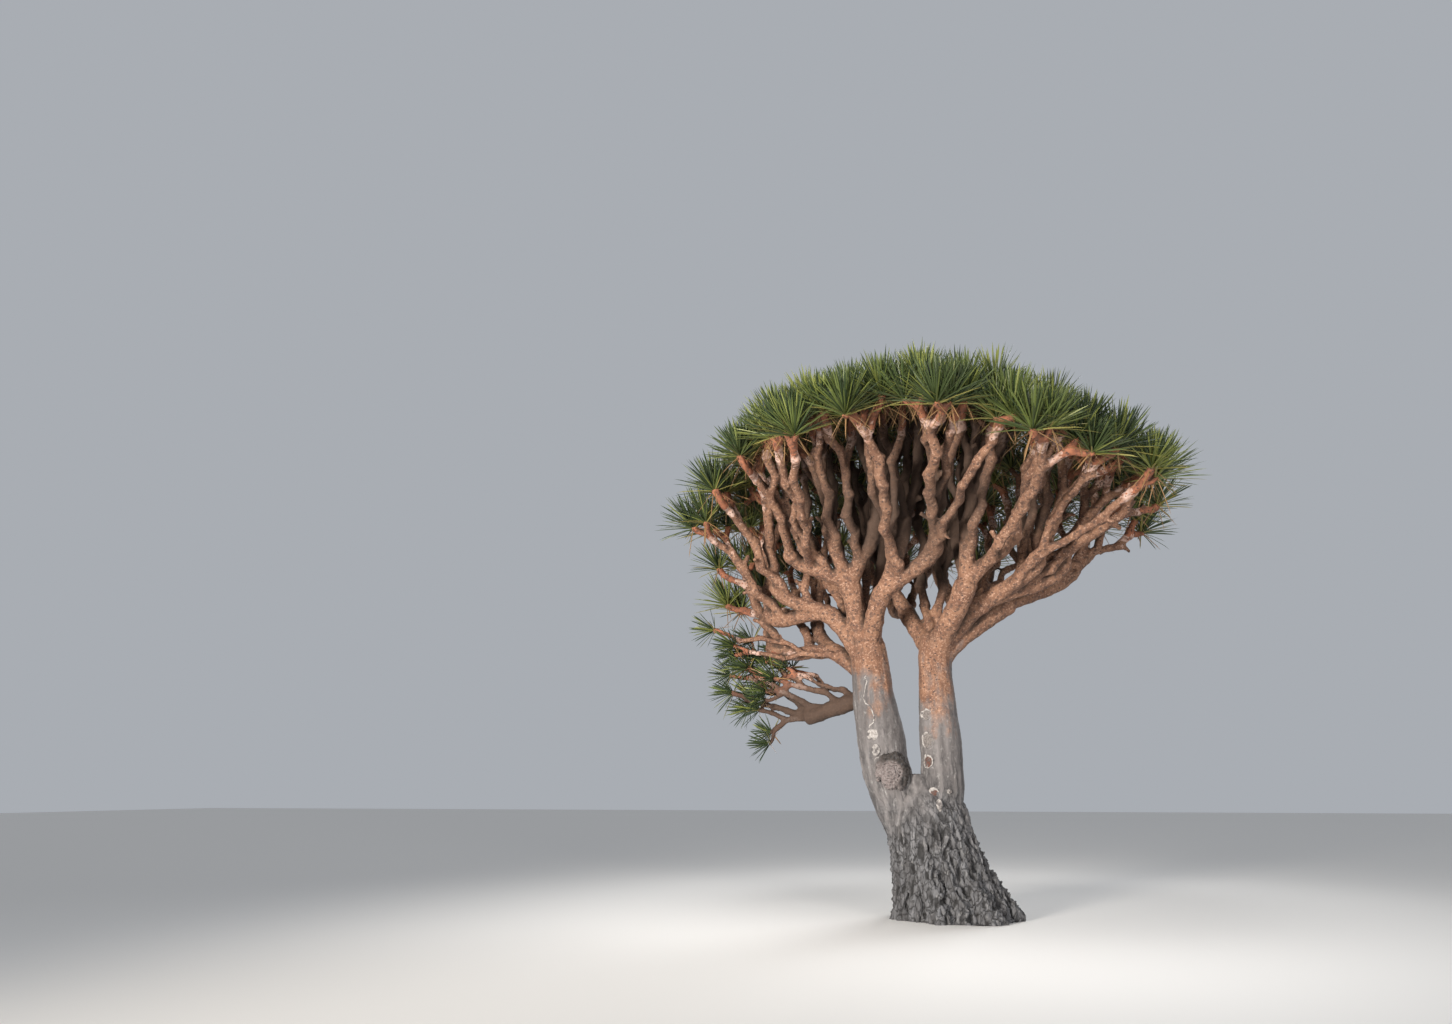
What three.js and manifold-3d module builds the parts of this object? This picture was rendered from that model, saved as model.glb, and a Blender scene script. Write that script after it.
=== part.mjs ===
// Dragon blood tree: one root, two leaning stems, forking boughs and an umbrella crown of leaf rosettes.
// Millimetres, +Z up. The origin is the middle of the flat cut at ground level.
// Azimuths are in degrees, seen from above: 0 is +X (right in the photograph), 90 is +Y (away), 270 is -Y.
import * as THREE from "three";
import { mergeVertices } from "three/addons/utils/BufferGeometryUtils.js";
import Module from "manifold-3d";

const wasm = await Module();
wasm.setup();

// Driving dimensions
const GAP = 0.3; // clear space between a limb and what it springs from
const STALK_GAP = 1.1 * GAP; // the same between a bough's end and the mass of foliage on it
const CUT_HEIGHT = 1470; // the trunk ends and the two stems begin here, just above the crotch

// The trunk's middle line and half sizes, evenly spaced from the ground to the crotch
const TRUNK = {
  height: 1230,
  lean: [-30, -130, -205, -260, -315],
  halfWidth: [470, 400, 372, 385, 385],
  halfDepth: [430, 345, 315, 300, 270],
  flareHeight: 480,
  flare: 0.12,
  buttresses: 7,
  buttressTurn: 0.6,
};

// Each stem's middle line from inside the trunk to the fork of its crown, and its radii, evenly spaced
const STEMS = {
  left_stem: {
    line: [[-330, 0, 560], [-535, -10, 1080], [-640, -10, 1640], [-712, 0, 2450]],
    radii: [190, 222, 236, 196],
  },
  right_stem: {
    line: [[-210, 10, 560], [-95, 10, 1080], [-80, 10, 1640], [-94, 0, 2400]],
    radii: [190, 208, 192, 178],
  },
};

const STEM_CROWN = 70; // how far the middle of a stem's top stands out, among the roots of its boughs

// The round knot low on the left stem, and its size
const KNOT = { at: [-500, -205, 1290], radius: 150, depth: 75 };

// Main boughs. Reach and azimuth run from the stem's fork to the bough's own fork, at that height.
// Drop is how far below the stem's top the bough springs.
const MAIN_BOUGHS = {
  left: { stem: "left_stem", azimuth: 178, reach: 440, height: 2800, drop: 230 },
  front_left: { stem: "left_stem", azimuth: 228, reach: 220, height: 3040, drop: 60 },
  front_mid: { stem: "left_stem", azimuth: 298, reach: 430, height: 2920, drop: 80 },
  rear_left: { stem: "left_stem", azimuth: 150, reach: 430, height: 2440, drop: 380 },
  rear_mid: { stem: "left_stem", azimuth: 70, reach: 300, height: 2990, drop: 100 },
  front_right: { stem: "right_stem", azimuth: 308, reach: 560, height: 2960, drop: 60 },
  right: { stem: "right_stem", azimuth: 343, reach: 540, height: 2820, drop: 110 },
  far_right: { stem: "right_stem", azimuth: 14, reach: 770, height: 2845, drop: 170 },
  rear_right: { stem: "right_stem", azimuth: 62, reach: 560, height: 2860, drop: 120 },
  rear: { stem: "right_stem", azimuth: 124, reach: 450, height: 2830, drop: 90 },
};

// Upper boughs: what each springs from, and where it ends, measured from the stem's fork as above
const UPPER_BOUGHS = {
  left_outer: { from: "left", azimuth: 181, reach: 900, height: 3100 },
  left_rear: { from: "left", azimuth: 166, reach: 1050, height: 2880 },
  front_left_outer: { from: "front_left", azimuth: 210, reach: 800, height: 3330 },
  front_left_inner: { from: "front_left", azimuth: 238, reach: 560, height: 3560 },
  front_left_top: { from: "front_left", azimuth: 288, reach: 500, height: 3600 },
  front_mid_top: { from: "front_mid", azimuth: 304, reach: 780, height: 3560 },
  front_mid_low: { from: "front_mid", azimuth: 318, reach: 940, height: 3290 },
  rear_left_low: { from: "rear_left", azimuth: 160, reach: 1080, height: 2540 },
  rear_left_high: { from: "rear_left", azimuth: 130, reach: 900, height: 2820 },
  rear_mid_outer: { from: "rear_mid", azimuth: 84, reach: 900, height: 3330 },
  rear_mid_top: { from: "rear_mid", azimuth: 40, reach: 300, height: 3640 },
  front_right_top: { from: "front_right", azimuth: 302, reach: 740, height: 3480 },
  front_right_outer: { from: "front_right", azimuth: 320, reach: 1050, height: 3360 },
  crown_top: { from: "front_right", azimuth: 5, reach: 330, height: 3660 },
  right_upper: { from: "right", azimuth: 340, reach: 1080, height: 3170 },
  right_lower: { from: "right", azimuth: 358, reach: 1270, height: 3190 },
  far_right_outer: { from: "far_right", azimuth: 17, reach: 1500, height: 3260 },
  far_right_rear: { from: "far_right", azimuth: 38, reach: 1300, height: 3180 },
  rear_right_outer: { from: "rear_right", azimuth: 60, reach: 1270, height: 3130 },
  rear_right_top: { from: "rear_right", azimuth: 82, reach: 760, height: 3380 },
  rear_outer: { from: "rear", azimuth: 108, reach: 1260, height: 3080 },
  rear_top: { from: "rear", azimuth: 138, reach: 620, height: 3330 },
};

const LEAVING_RISE = 1.25; // how steeply a main bough leaves its stem
const FORK_SHARE = 0.8; // the share of its tips that still sets a main bough's radius where it forks
const BOUGH_CROWN = 30; // how far the middle of its end stands out there
const ROOT_DEPTH = 60; // how deep an upper bough starts inside its main bough

// The low bough behind the left stem: how high it springs, where it ends and how it leaves and arrives.
// Carries sets how thick it springs, and along is the point of the stem's line, from 0 to 1, over its root.
const LOW_BOUGH = { azimuth: 160, springs: 1930, along: 0.72, reach: 760, height: 1790, carries: 12 };
const LOW_RISES = { leaving: 0.1, arriving: -0.15 };

// Its few tips, measured from its end. Two droop and the others climb away to the left.
const LOW_TIPS = [
  { azimuth: 178, reach: 400, height: 1600 },
  { azimuth: 172, reach: 500, height: 1880 },
  { azimuth: 187, reach: 600, height: 2290 },
  { azimuth: 164, reach: 860, height: 2260 },
  { azimuth: 179, reach: 950, height: 2700 },
  { azimuth: 168, reach: 660, height: 2550 },
  { azimuth: 140, reach: 640, height: 2170 },
  { azimuth: 115, reach: 450, height: 2330 },
];
const LOW_TIP_RISE = 0.3; // how steeply their rosettes stand
const LOW_LEAF = 260;

// The crown's shell, which the tips of all twigs reach, with its rim's height every 30 degrees of azimuth
const CROWN = {
  middle: [-110, 0],
  radius: 2280,
  top: 4720,
  rim: [3650, 3740, 3740, 3640, 3320, 2920, 3340, 3840, 3940, 4000, 3760, 3640, 3650],
  roundness: 2.3,
  tips: 156,
  jitter: 90,
  tilt: [0.1, 0.7], // how far a rosette leans outwards, in the middle and at the rim
};
const GOLDEN_ANGLE = Math.PI * (3 - Math.sqrt(5));
const DEALING = { rounds: 120, step: 2 }; // how the tips are shared out evenly among the upper boughs

// Twigs. A limb's radius is the tip's, times the cube root of the number of tips that it carries.
const TWIG = {
  tipRadius: 40,
  faceted: 1.15, // three sides need wider corners to look as thick as a round twig
  taper: 0.12,
  bend: 0.5, // how much of its first heading a twig keeps
  splay: 0.35,
  sunk: 0.6, // how deep a fork's twigs start inside the one that they spring from, in its radii
};

// A rosette as a star: leaf points in turn low and steep, with valleys between them, above its twig's neck
const STAR = {
  points: 7,
  leaf: 420,
  rises: [0.15, 1.4],
  valley: 120,
  valleyRise: 0.8,
  neck: 48,
  neckDepth: 60,
};
const OWN_SPACE = 0.49; // a leaf point stops just short of halfway to the next tip
const FAR = 3000; // beyond the tree on every side, for cutting

// Colours and finishes
const BARK = new THREE.MeshStandardMaterial({ color: 0x6d655e, roughness: 0.95, metalness: 0 });
const BOUGH_BARK = new THREE.MeshStandardMaterial({ color: 0x9b6c52, roughness: 0.9, metalness: 0 });
const FOLIAGE = new THREE.MeshStandardMaterial({ color: 0x3f6a2a, roughness: 0.6, metalness: 0 });

const radians = THREE.MathUtils.degToRad;
const vector = (xyz) => new THREE.Vector3(...xyz);
const flatPoint = (origin, azimuth, reach, height) =>
  new THREE.Vector3(
    origin.x + reach * Math.cos(radians(azimuth)),
    origin.y + reach * Math.sin(radians(azimuth)),
    height,
  );

const headingOf = (azimuth, rise) => flatPoint(new THREE.Vector3(), azimuth, 1, rise).normalize();
const middleOf = (points) =>
  points.reduce((sum, point) => sum.add(point), new THREE.Vector3()).divideScalar(points.length);

// The value at t, from 0 to 1, on a smooth line through evenly spaced values
function evenly(values, t) {
  const points = values.map((value, i) => new THREE.Vector2(i, value));
  return new THREE.SplineCurve(points).getPoint(t).y;
}

// Numbers from 0 to 1 that are the same on every run
function seeded(seed) {
  let state = seed;
  return () => {
    state = (state * 16807) % 2147483647;
    return state / 2147483647;
  };
}

// Solids

// A closed three.js geometry as a solid, without the edges that merging has closed up
function solidOf(geometry) {
  geometry.deleteAttribute("normal");
  geometry.deleteAttribute("uv");
  const merged = mergeVertices(geometry, 1e-3);
  const faces = [];
  for (let i = 0; i < merged.index.count; i += 3) {
    const [a, b, c] = merged.index.array.slice(i, i + 3);
    if (a !== b && b !== c && c !== a) faces.push(a, b, c);
  }
  return new wasm.Manifold(
    new wasm.Mesh({
      numProp: 3,
      vertProperties: new Float32Array(merged.getAttribute("position").array),
      triVerts: new Uint32Array(faces),
    }),
  );
}

// Moves every point of a geometry to where the rule puts it
function reshape(geometry, rule) {
  const points = geometry.getAttribute("position");
  for (let i = 0; i < points.count; i++) {
    const { x, y, z } = rule(new THREE.Vector3().fromBufferAttribute(points, i));
    points.setXYZ(i, x, y, z);
  }
  return solidOf(geometry);
}

// A limb round a middle line: a lathed drum whose rings are moved onto the line and given their radii.
// Crown is how far the middle of its far end stands out. Grown is how far its whole skin is moved outwards,
// for cutting other limbs clear of it.
function limb(line, { sides, rings, radius, depth = radius, upright = false, crown = 0, grown = 0 }) {
  const profile = [new THREE.Vector2(0, 0)];
  for (let i = 0; i <= rings; i++) profile.push(new THREE.Vector2(1, i / rings));
  profile.push(new THREE.Vector2(0, 1));
  const frames = line.computeFrenetFrames(rings);
  const right = new THREE.Vector3(1, 0, 0);
  const away = new THREE.Vector3(0, 1, 0);
  return reshape(new THREE.LatheGeometry(profile, sides), ({ x, y: t, z }) => {
    const ring = Math.round(t * rings);
    const angle = Math.atan2(x, z);
    const onAxis = Math.hypot(x, z) < 0.5;
    const across = onAxis ? 0 : (radius(t, angle) + grown) * Math.cos(angle);
    const over = onAxis ? 0 : (depth(t, angle) + grown) * Math.sin(angle);
    let along = 0;
    if (ring === 0) along = -grown;
    if (ring === rings) along = grown + (onAxis ? crown : 0);
    return line
      .getPointAt(t)
      .addScaledVector(frames.tangents[ring], along)
      .addScaledVector(upright ? right : frames.normals[ring], across)
      .addScaledVector(upright ? away : frames.binormals[ring], over);
  });
}

function block(from, to) {
  const size = to.clone().sub(from);
  const middle = from.clone().add(to).multiplyScalar(0.5);
  return solidOf(new THREE.BoxGeometry(size.x, size.y, size.z).translate(middle.x, middle.y, middle.z));
}

// The largest of the bodies that a cut leaves
function largest(solid) {
  return solid.decompose().sort((a, b) => b.volume() - a.volume())[0];
}

function boxesMeet(a, b) {
  const [p, q] = [a.boundingBox(), b.boundingBox()];
  return [0, 1, 2].every((i) => p.min[i] <= q.max[i] && q.min[i] <= p.max[i]);
}

// A limb's solid with everything that stands already cut away
function cutClear(solid, standing) {
  const cut = (rest, other) => (boxesMeet(rest, other) ? rest.subtract(other) : rest);
  return largest(standing.reduce(cut, solid));
}

function meshOf(name, solid, material) {
  const { vertProperties, triVerts } = solid.getMesh();
  const geometry = new THREE.BufferGeometry();
  geometry.setAttribute("position", new THREE.BufferAttribute(vertProperties, 3));
  geometry.setIndex(new THREE.BufferAttribute(triVerts, 1));
  geometry.computeVertexNormals();
  const mesh = new THREE.Mesh(geometry, material);
  mesh.name = name;
  return mesh;
}

// The crown's tips

// A sunflower's even spiral of tips, laid over the crown's shell
function crownTips() {
  const random = seeded(41);
  const tips = [];
  for (let i = 0; i < CROWN.tips; i++) {
    const out = Math.sqrt((i + 0.5) / CROWN.tips);
    const angle = i * GOLDEN_ANGLE;
    const turn = THREE.MathUtils.euclideanModulo(angle / (2 * Math.PI), 1);
    const fall = CROWN.top - evenly(CROWN.rim, turn);
    const jitter = [0, 1, 2].map(() => (random() - 0.5) * CROWN.jitter);
    const at = new THREE.Vector3(
      CROWN.middle[0] + CROWN.radius * out * Math.cos(angle) + jitter[0],
      CROWN.middle[1] + CROWN.radius * out * Math.sin(angle) + jitter[1],
      CROWN.top - fall * out ** CROWN.roundness + jitter[2],
    );
    const tilt = THREE.MathUtils.lerp(...CROWN.tilt, out ** 2);
    const axis = new THREE.Vector3(tilt * Math.cos(angle), tilt * Math.sin(angle), 1).normalize();
    tips.push({ at, axis, leaf: STAR.leaf });
  }
  return tips;
}

// The low bough's own tips
function lowTips(end) {
  return LOW_TIPS.map(({ azimuth, reach, height }) => ({
    at: flatPoint(end, azimuth, reach, height),
    axis: headingOf(azimuth, LOW_TIP_RISE),
    leaf: LOW_LEAF,
  }));
}

// Growth

const limbRadius = (tips) => TWIG.tipRadius * Math.cbrt(tips);

// A curve that leaves one point along a heading and arrives at another along a second heading
function bow(from, heading, to, arriving) {
  const third = from.distanceTo(to) / 3;
  return new THREE.CubicBezierCurve3(
    from,
    from.clone().addScaledVector(heading, third),
    to.clone().addScaledVector(arriving, -third),
    to,
  );
}

// The direction, square to the aim, along which points are spread most
function widestAcross(points, middle, aim) {
  const first = new THREE.Vector3(0, 0, 1).cross(aim);
  if (first.length() < 0.05) first.set(1, 0, 0);
  first.normalize();
  const second = aim.clone().cross(first).normalize();
  let [xx, xy, yy] = [0, 0, 0];
  for (const point of points) {
    const offset = point.clone().sub(middle);
    const [x, y] = [offset.dot(first), offset.dot(second)];
    xx += x * x;
    xy += x * y;
    yy += y * y;
  }
  const turn = 0.5 * Math.atan2(2 * xy, xx - yy);
  return first.multiplyScalar(Math.cos(turn)).addScaledVector(second, Math.sin(turn));
}

// The fork rule: a twig steps towards its tips, the tips are halved across their widest spread, and each half
// gets a twig of its own from the fork. One tip alone gets the last twig, which is made with its rosette.
function grow(pieces, from, heading, tips, others) {
  if (tips.length === 1) {
    pieces.push(sprig(from, tips[0], others));
    return;
  }
  const points = tips.map((tip) => tip.at);
  const middle = middleOf(points);
  const aim = middle.clone().sub(from);
  const step = aim.length() / (Math.ceil(Math.log2(tips.length)) + 1);
  aim.normalize();
  const arriving = aim.clone().addScaledVector(heading, TWIG.bend).normalize();
  const fork = from.clone().addScaledVector(arriving, step);
  const thick = TWIG.faceted * limbRadius(tips.length);
  const radius = (t) => thick * (1 - TWIG.taper * t);
  pieces.push(limb(bow(from, heading, fork, arriving), { sides: 3, rings: 1, radius }));

  const across = widestAcross(points, middle, aim);
  const sorted = [...tips].sort((a, b) => a.at.dot(across) - b.at.dot(across));
  const half = Math.ceil(sorted.length / 2);
  const root = fork.clone().addScaledVector(arriving, -TWIG.sunk * thick);
  for (const [part, side] of [[sorted.slice(0, half), -1], [sorted.slice(half), 1]]) {
    const towards = middleOf(part.map((tip) => tip.at)).sub(fork).normalize();
    const splayed = towards.addScaledVector(across, TWIG.splay * side).normalize();
    grow(pieces, root, splayed, part, others);
  }
}

// A last twig and its rosette as one star. The lower pole is the twig's root, three corners are its neck, and
// round the tip the leaf points stand between valleys. No leaf point leaves the space nearest to its own tip.
function sprig(root, tip, others) {
  const spokes = 2 * STAR.points;
  const up = new THREE.Vector3(0, 1, 0);
  const turn = new THREE.Quaternion().setFromUnitVectors(up, tip.axis);
  const neck = tip.at.clone().lerp(root, STAR.neckDepth / tip.at.distanceTo(root));

  return reshape(new THREE.SphereGeometry(1, spokes, 3), ({ x, y, z }) => {
    if (y < -0.9) return root;
    const spoke = Math.round((Math.atan2(z, x) / (2 * Math.PI)) * spokes) + spokes;
    if (y < 0) {
      const corner = 120 * Math.round(((spoke % spokes) * 3) / spokes);
      const out = new THREE.Vector3(Math.cos(radians(corner)), 0, Math.sin(radians(corner)));
      return out.applyQuaternion(turn).multiplyScalar(STAR.neck).add(neck);
    }
    const isTop = y > 0.9;
    const isValley = isTop || spoke % 2 === 1;
    const rise = isValley ? STAR.valleyRise : STAR.rises[(spoke / 2) % STAR.rises.length];
    const direction = isTop ? up.clone() : new THREE.Vector3(x, 0, z).normalize().setY(rise).normalize();
    direction.applyQuaternion(turn);
    let reach = isValley ? STAR.valley : tip.leaf;
    for (const other of others) {
      const between = other.at.clone().sub(tip.at);
      const towards = direction.dot(between);
      if (towards > 1) reach = Math.min(reach, (OWN_SPACE * between.lengthSq()) / towards);
    }
    return tip.at.clone().addScaledVector(direction, reach);
  });
}

// Trunk and stems

function footSolid() {
  const { height, lean, halfWidth, halfDepth } = TRUNK;
  const middle = lean.map((x, i) => vector([x, 0, (i * height) / (lean.length - 1)]));
  const flare = (t, angle) => {
    const left = Math.max(0, 1 - (t * height) / TRUNK.flareHeight);
    const ridge = 0.6 + Math.cos(TRUNK.buttresses * angle + TRUNK.buttressTurn);
    return 1 + TRUNK.flare * left ** 1.5 * ridge;
  };
  return limb(new THREE.CatmullRomCurve3(middle), {
    sides: 3 * TRUNK.buttresses,
    rings: 7,
    radius: (t, angle) => evenly(halfWidth, t) * flare(t, angle),
    depth: (t, angle) => evenly(halfDepth, t) * flare(t, angle),
    upright: true,
  });
}

// A stem as a whole, from inside the trunk to its fork, and the same grown for cutting
function wholeStem({ line: points, radii }) {
  const line = new THREE.CatmullRomCurve3(points.map(vector));
  const radius = (t) => evenly(radii, t);
  const shape = (grown) => limb(line, { sides: 11, rings: 9, radius, crown: STEM_CROWN, grown });
  return { line, whole: shape(0), grown: shape(GAP), top: line.getPoint(1) };
}

// The trunk takes in the foot of each stem, below the cut, and the knot
function trunkSolid(stems) {
  const above = block(new THREE.Vector3(-FAR, -FAR, CUT_HEIGHT), new THREE.Vector3(FAR, FAR, FAR));
  const knot = new THREE.SphereGeometry(KNOT.radius, 10, 6).scale(1, KNOT.depth / KNOT.radius, 1);
  const stumps = Object.values(stems).map((stem) => stem.whole.subtract(above));
  return [...stumps, solidOf(knot.translate(...KNOT.at))].reduce((sum, solid) => sum.add(solid), footSolid());
}

function stemSolid(stem) {
  const from = new THREE.Vector3(-FAR, -FAR, -FAR);
  return largest(stem.whole.subtract(block(from, new THREE.Vector3(FAR, FAR, CUT_HEIGHT + GAP))));
}

// The tree

const tree = new THREE.Group();
const standing = []; // what later limbs are cut clear of
const ends = {}; // where each bough ends, and its heading there

const stems = Object.fromEntries(Object.entries(STEMS).map(([name, stem]) => [name, wholeStem(stem)]));
tree.add(meshOf("trunk", trunkSolid(stems), BARK));
for (const [name, stem] of Object.entries(stems)) {
  tree.add(meshOf(name, stemSolid(stem), BARK));
  standing.push(stem.grown);
}

// Deals the tips out to the upper boughs: each to the nearest, after a handicap that evens out their numbers
const uppers = Object.entries(UPPER_BOUGHS).map(([name, { from, azimuth, reach, height }]) => {
  const fork = stems[MAIN_BOUGHS[from].stem].top;
  return { name, from, end: flatPoint(fork, azimuth, reach, height), handicap: 0, tips: [] };
});
for (let round = 0; round < DEALING.rounds; round++) {
  for (const bough of uppers) bough.tips = [];
  for (const tip of crownTips()) {
    const cost = (bough) => bough.end.distanceTo(tip.at) + bough.handicap;
    uppers.reduce((best, bough) => (cost(bough) < cost(best) ? bough : best)).tips.push(tip);
  }
  for (const bough of uppers) {
    bough.handicap += DEALING.step * (bough.tips.length - CROWN.tips / uppers.length);
  }
}

// Adds one bough: its solid is cut clear of all that stands already
function addBough(name, line, fromTips, toTips, crown = 0) {
  const radius = (t) => limbRadius(THREE.MathUtils.lerp(fromTips, toTips, t));
  const shape = (grown) => limb(line, { sides: 7, rings: 4, radius, crown, grown });
  tree.add(meshOf(`bough_${name}`, cutClear(shape(0), standing), BOUGH_BARK));
  standing.push(shape(GAP));
  ends[name] = { from: line.getPoint(1), heading: line.getTangent(1) };
}

for (const [name, { stem, azimuth, reach, height, drop }] of Object.entries(MAIN_BOUGHS)) {
  const children = uppers.filter((upper) => upper.from === name);
  const carries = children.reduce((sum, upper) => sum + upper.tips.length, 0);
  const { top } = stems[stem];
  const root = top.clone().setZ(top.z - drop);
  const fork = flatPoint(top, azimuth, reach, height);
  const onward = middleOf(children.map((upper) => upper.end)).sub(fork).normalize();
  const line = bow(root, headingOf(azimuth, LEAVING_RISE), fork, onward);
  addBough(name, line, carries, carries * FORK_SHARE, BOUGH_CROWN);
}
for (const { name, from, end, tips } of uppers) {
  const fork = ends[from];
  const root = fork.from.clone().addScaledVector(fork.heading, -ROOT_DEPTH);
  const onward = middleOf(tips.map((tip) => tip.at)).sub(end).normalize();
  const leaving = end.clone().sub(fork.from).normalize().add(fork.heading).normalize();
  addBough(name, bow(root, leaving, end, onward), tips.length, tips.length);
}

const { azimuth, springs, along, reach, height, carries } = LOW_BOUGH;
const lowRoot = stems.left_stem.line.getPoint(along).setZ(springs);
const lowEnd = flatPoint(lowRoot, azimuth, reach, height);
const { leaving, arriving } = LOW_RISES;
const lowLine = bow(lowRoot, headingOf(azimuth, leaving), lowEnd, headingOf(azimuth, arriving));
addBough("low", lowLine, carries, LOW_TIPS.length);

// Foliage masses: twigs and rosettes fused, cut clear of every limb
const masses = [...uppers, { name: "low", tips: lowTips(lowEnd) }];
const allTips = masses.flatMap((mass) => mass.tips);
for (const { name, tips } of masses) {
  const { from, heading } = ends[name];
  const pieces = [];
  grow(pieces, from.clone().addScaledVector(heading, STALK_GAP), heading, tips, allTips);
  const fused = pieces.reduce((sum, solid) => sum.add(solid));
  tree.add(meshOf(`foliage_${name}`, cutClear(fused, standing), FOLIAGE));
}

export default tree;
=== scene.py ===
# %% [markdown]
# A dragon blood tree: one root, two leaning stems, boughs that fork again and again, and an umbrella of
# stiff leaf rosettes. A plain model of the whole tree is ready. Its trunk, stems, boughs and masses of
# foliage are simple solids at their real size. This lesson dresses it: bark with relief on the wood, twigs
# that fork on from the boughs, and some twenty-six thousand leaves. Lengths are metres, Z is up, and the
# origin is the middle of the cut at ground level. Azimuths are degrees seen from above: 0 is +X, 90 is +Y
# and 270 faces the camera.

# %% Load the plain model
import math

import bpy
import numpy as np
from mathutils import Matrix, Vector, kdtree


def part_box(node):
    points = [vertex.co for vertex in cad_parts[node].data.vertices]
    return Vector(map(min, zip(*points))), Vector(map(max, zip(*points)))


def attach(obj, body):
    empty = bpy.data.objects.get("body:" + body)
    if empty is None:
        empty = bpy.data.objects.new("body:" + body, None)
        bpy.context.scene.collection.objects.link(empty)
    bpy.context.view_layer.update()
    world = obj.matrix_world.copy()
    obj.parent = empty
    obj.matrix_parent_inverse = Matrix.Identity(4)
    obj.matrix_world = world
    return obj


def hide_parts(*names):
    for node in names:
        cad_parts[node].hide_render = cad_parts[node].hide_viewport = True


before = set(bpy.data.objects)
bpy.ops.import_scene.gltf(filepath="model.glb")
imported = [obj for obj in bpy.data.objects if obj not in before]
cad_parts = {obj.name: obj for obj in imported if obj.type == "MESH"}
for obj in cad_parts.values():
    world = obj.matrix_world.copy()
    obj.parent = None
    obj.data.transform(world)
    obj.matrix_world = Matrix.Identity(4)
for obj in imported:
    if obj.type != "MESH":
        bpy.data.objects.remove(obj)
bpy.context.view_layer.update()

# %% [markdown]
# The stage comes first, so that every later step can be looked at. The camera stands where the photographer
# stood: low, nine and a half metres off, and tilted up. Its focal length was worked out from the picture,
# and the picture is 1452 by 1024 points, so a lens of 24 mm on a 36 mm film shows as much as the photograph
# does.

# %% The camera
CAMERA_AT = (0, -9.5, 1.10)
TILT_UP = 16  # degrees above the horizon
TURNED_LEFT = 12.65  # degrees from straight ahead
LENS = 24.0
FILM = 36.0

aim = (math.radians(90 + TILT_UP), 0, math.radians(TURNED_LEFT))
bpy.ops.object.camera_add(location=CAMERA_AT, rotation=aim)
camera = bpy.context.object
camera.data.lens = LENS
camera.data.sensor_width = FILM
bpy.context.scene.camera = camera
print("camera at", tuple(camera.location), "with a lens of", LENS, "mm")

# %% [markdown]
# The floor is a plain pale sheet. The light is soft, as in a studio: large lamps at the front reach in
# under the crown, where this kind of tree shows its boughs, one from behind lifts the leaves off the
# background, and a pale world fills the shadows. The world is a plain colour, so the tree alone draws the
# eye.

# %% The floor and the light
FLOOR_SIDE = 90.0
FLOOR_COLOUR = (0.78, 0.76, 0.73)
WORLD_COLOUR = (0.72, 0.76, 0.82, 1)
WORLD_STRENGTH = 0.55
CROWN_HEART = Vector((-0.1, 0, 3.0))  # what the lamps are turned towards
LAMPS = {  # name: place, side of the square lamp, watts, colour
    "front_left": ((-6.5, -12.0, 2.5), 3.0, 440, (1.0, 0.94, 0.86)),
    "front_right": ((6.5, -11.0, 3.0), 4.0, 110, (1.0, 0.96, 0.92)),
    "behind": ((3.0, 8.5, 6.5), 5.0, 110, (0.96, 0.98, 1.0)),
    "above": ((-1.0, -2.0, 9.5), 6.0, 90, (1.0, 1.0, 1.0)),
}
LAMP_SPREAD = 60  # degrees; a narrow beam keeps the lamps' light off the floor beside them

bpy.ops.mesh.primitive_plane_add(size=FLOOR_SIDE)
floor = bpy.context.object
floor.name = "floor"
for name, (place, side, watts, colour) in LAMPS.items():
    bpy.ops.object.light_add(type="AREA", location=place)
    lamp = bpy.context.object
    lamp.name = "lamp_" + name
    lamp.rotation_euler = (CROWN_HEART - Vector(place)).to_track_quat("-Z", "Y").to_euler()
    lamp.data.size = side
    lamp.data.energy = watts
    lamp.data.color = colour
    lamp.data.spread = math.radians(LAMP_SPREAD)

world = bpy.data.worlds.new("pale_room")
world.use_nodes = True
world.node_tree.nodes["Background"].inputs["Color"].default_value = WORLD_COLOUR
world.node_tree.nodes["Background"].inputs["Strength"].default_value = WORLD_STRENGTH
bpy.context.scene.world = world
bpy.context.scene.view_settings.view_transform = "Standard"

# %% [markdown]
# The tree's bones. These are the driving sizes of the plain model, said again in metres: the trunk's middle
# line and half sizes, the two stems, and how far each bough reaches and how high. A bough is measured from
# the fork at the top of its stem.

# %% The tree's sizes
TRUNK_HEIGHT = 1.230
TRUNK_LEAN = [-0.030, -0.130, -0.205, -0.260, -0.315]
TRUNK_HALF_WIDTH = [0.470, 0.400, 0.372, 0.385, 0.385]
TRUNK_HALF_DEPTH = [0.430, 0.345, 0.315, 0.300, 0.270]

STEMS = {
    "left_stem": {
        "line": [
            (-0.330, 0, 0.560), (-0.535, -0.010, 1.080), (-0.640, -0.010, 1.640), (-0.712, 0, 2.450),
        ],
        "radii": [0.190, 0.222, 0.236, 0.196],
    },
    "right_stem": {
        "line": [
            (-0.210, 0.010, 0.560), (-0.095, 0.010, 1.080), (-0.080, 0.010, 1.640), (-0.094, 0, 2.400),
        ],
        "radii": [0.190, 0.208, 0.192, 0.178],
    },
}

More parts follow.
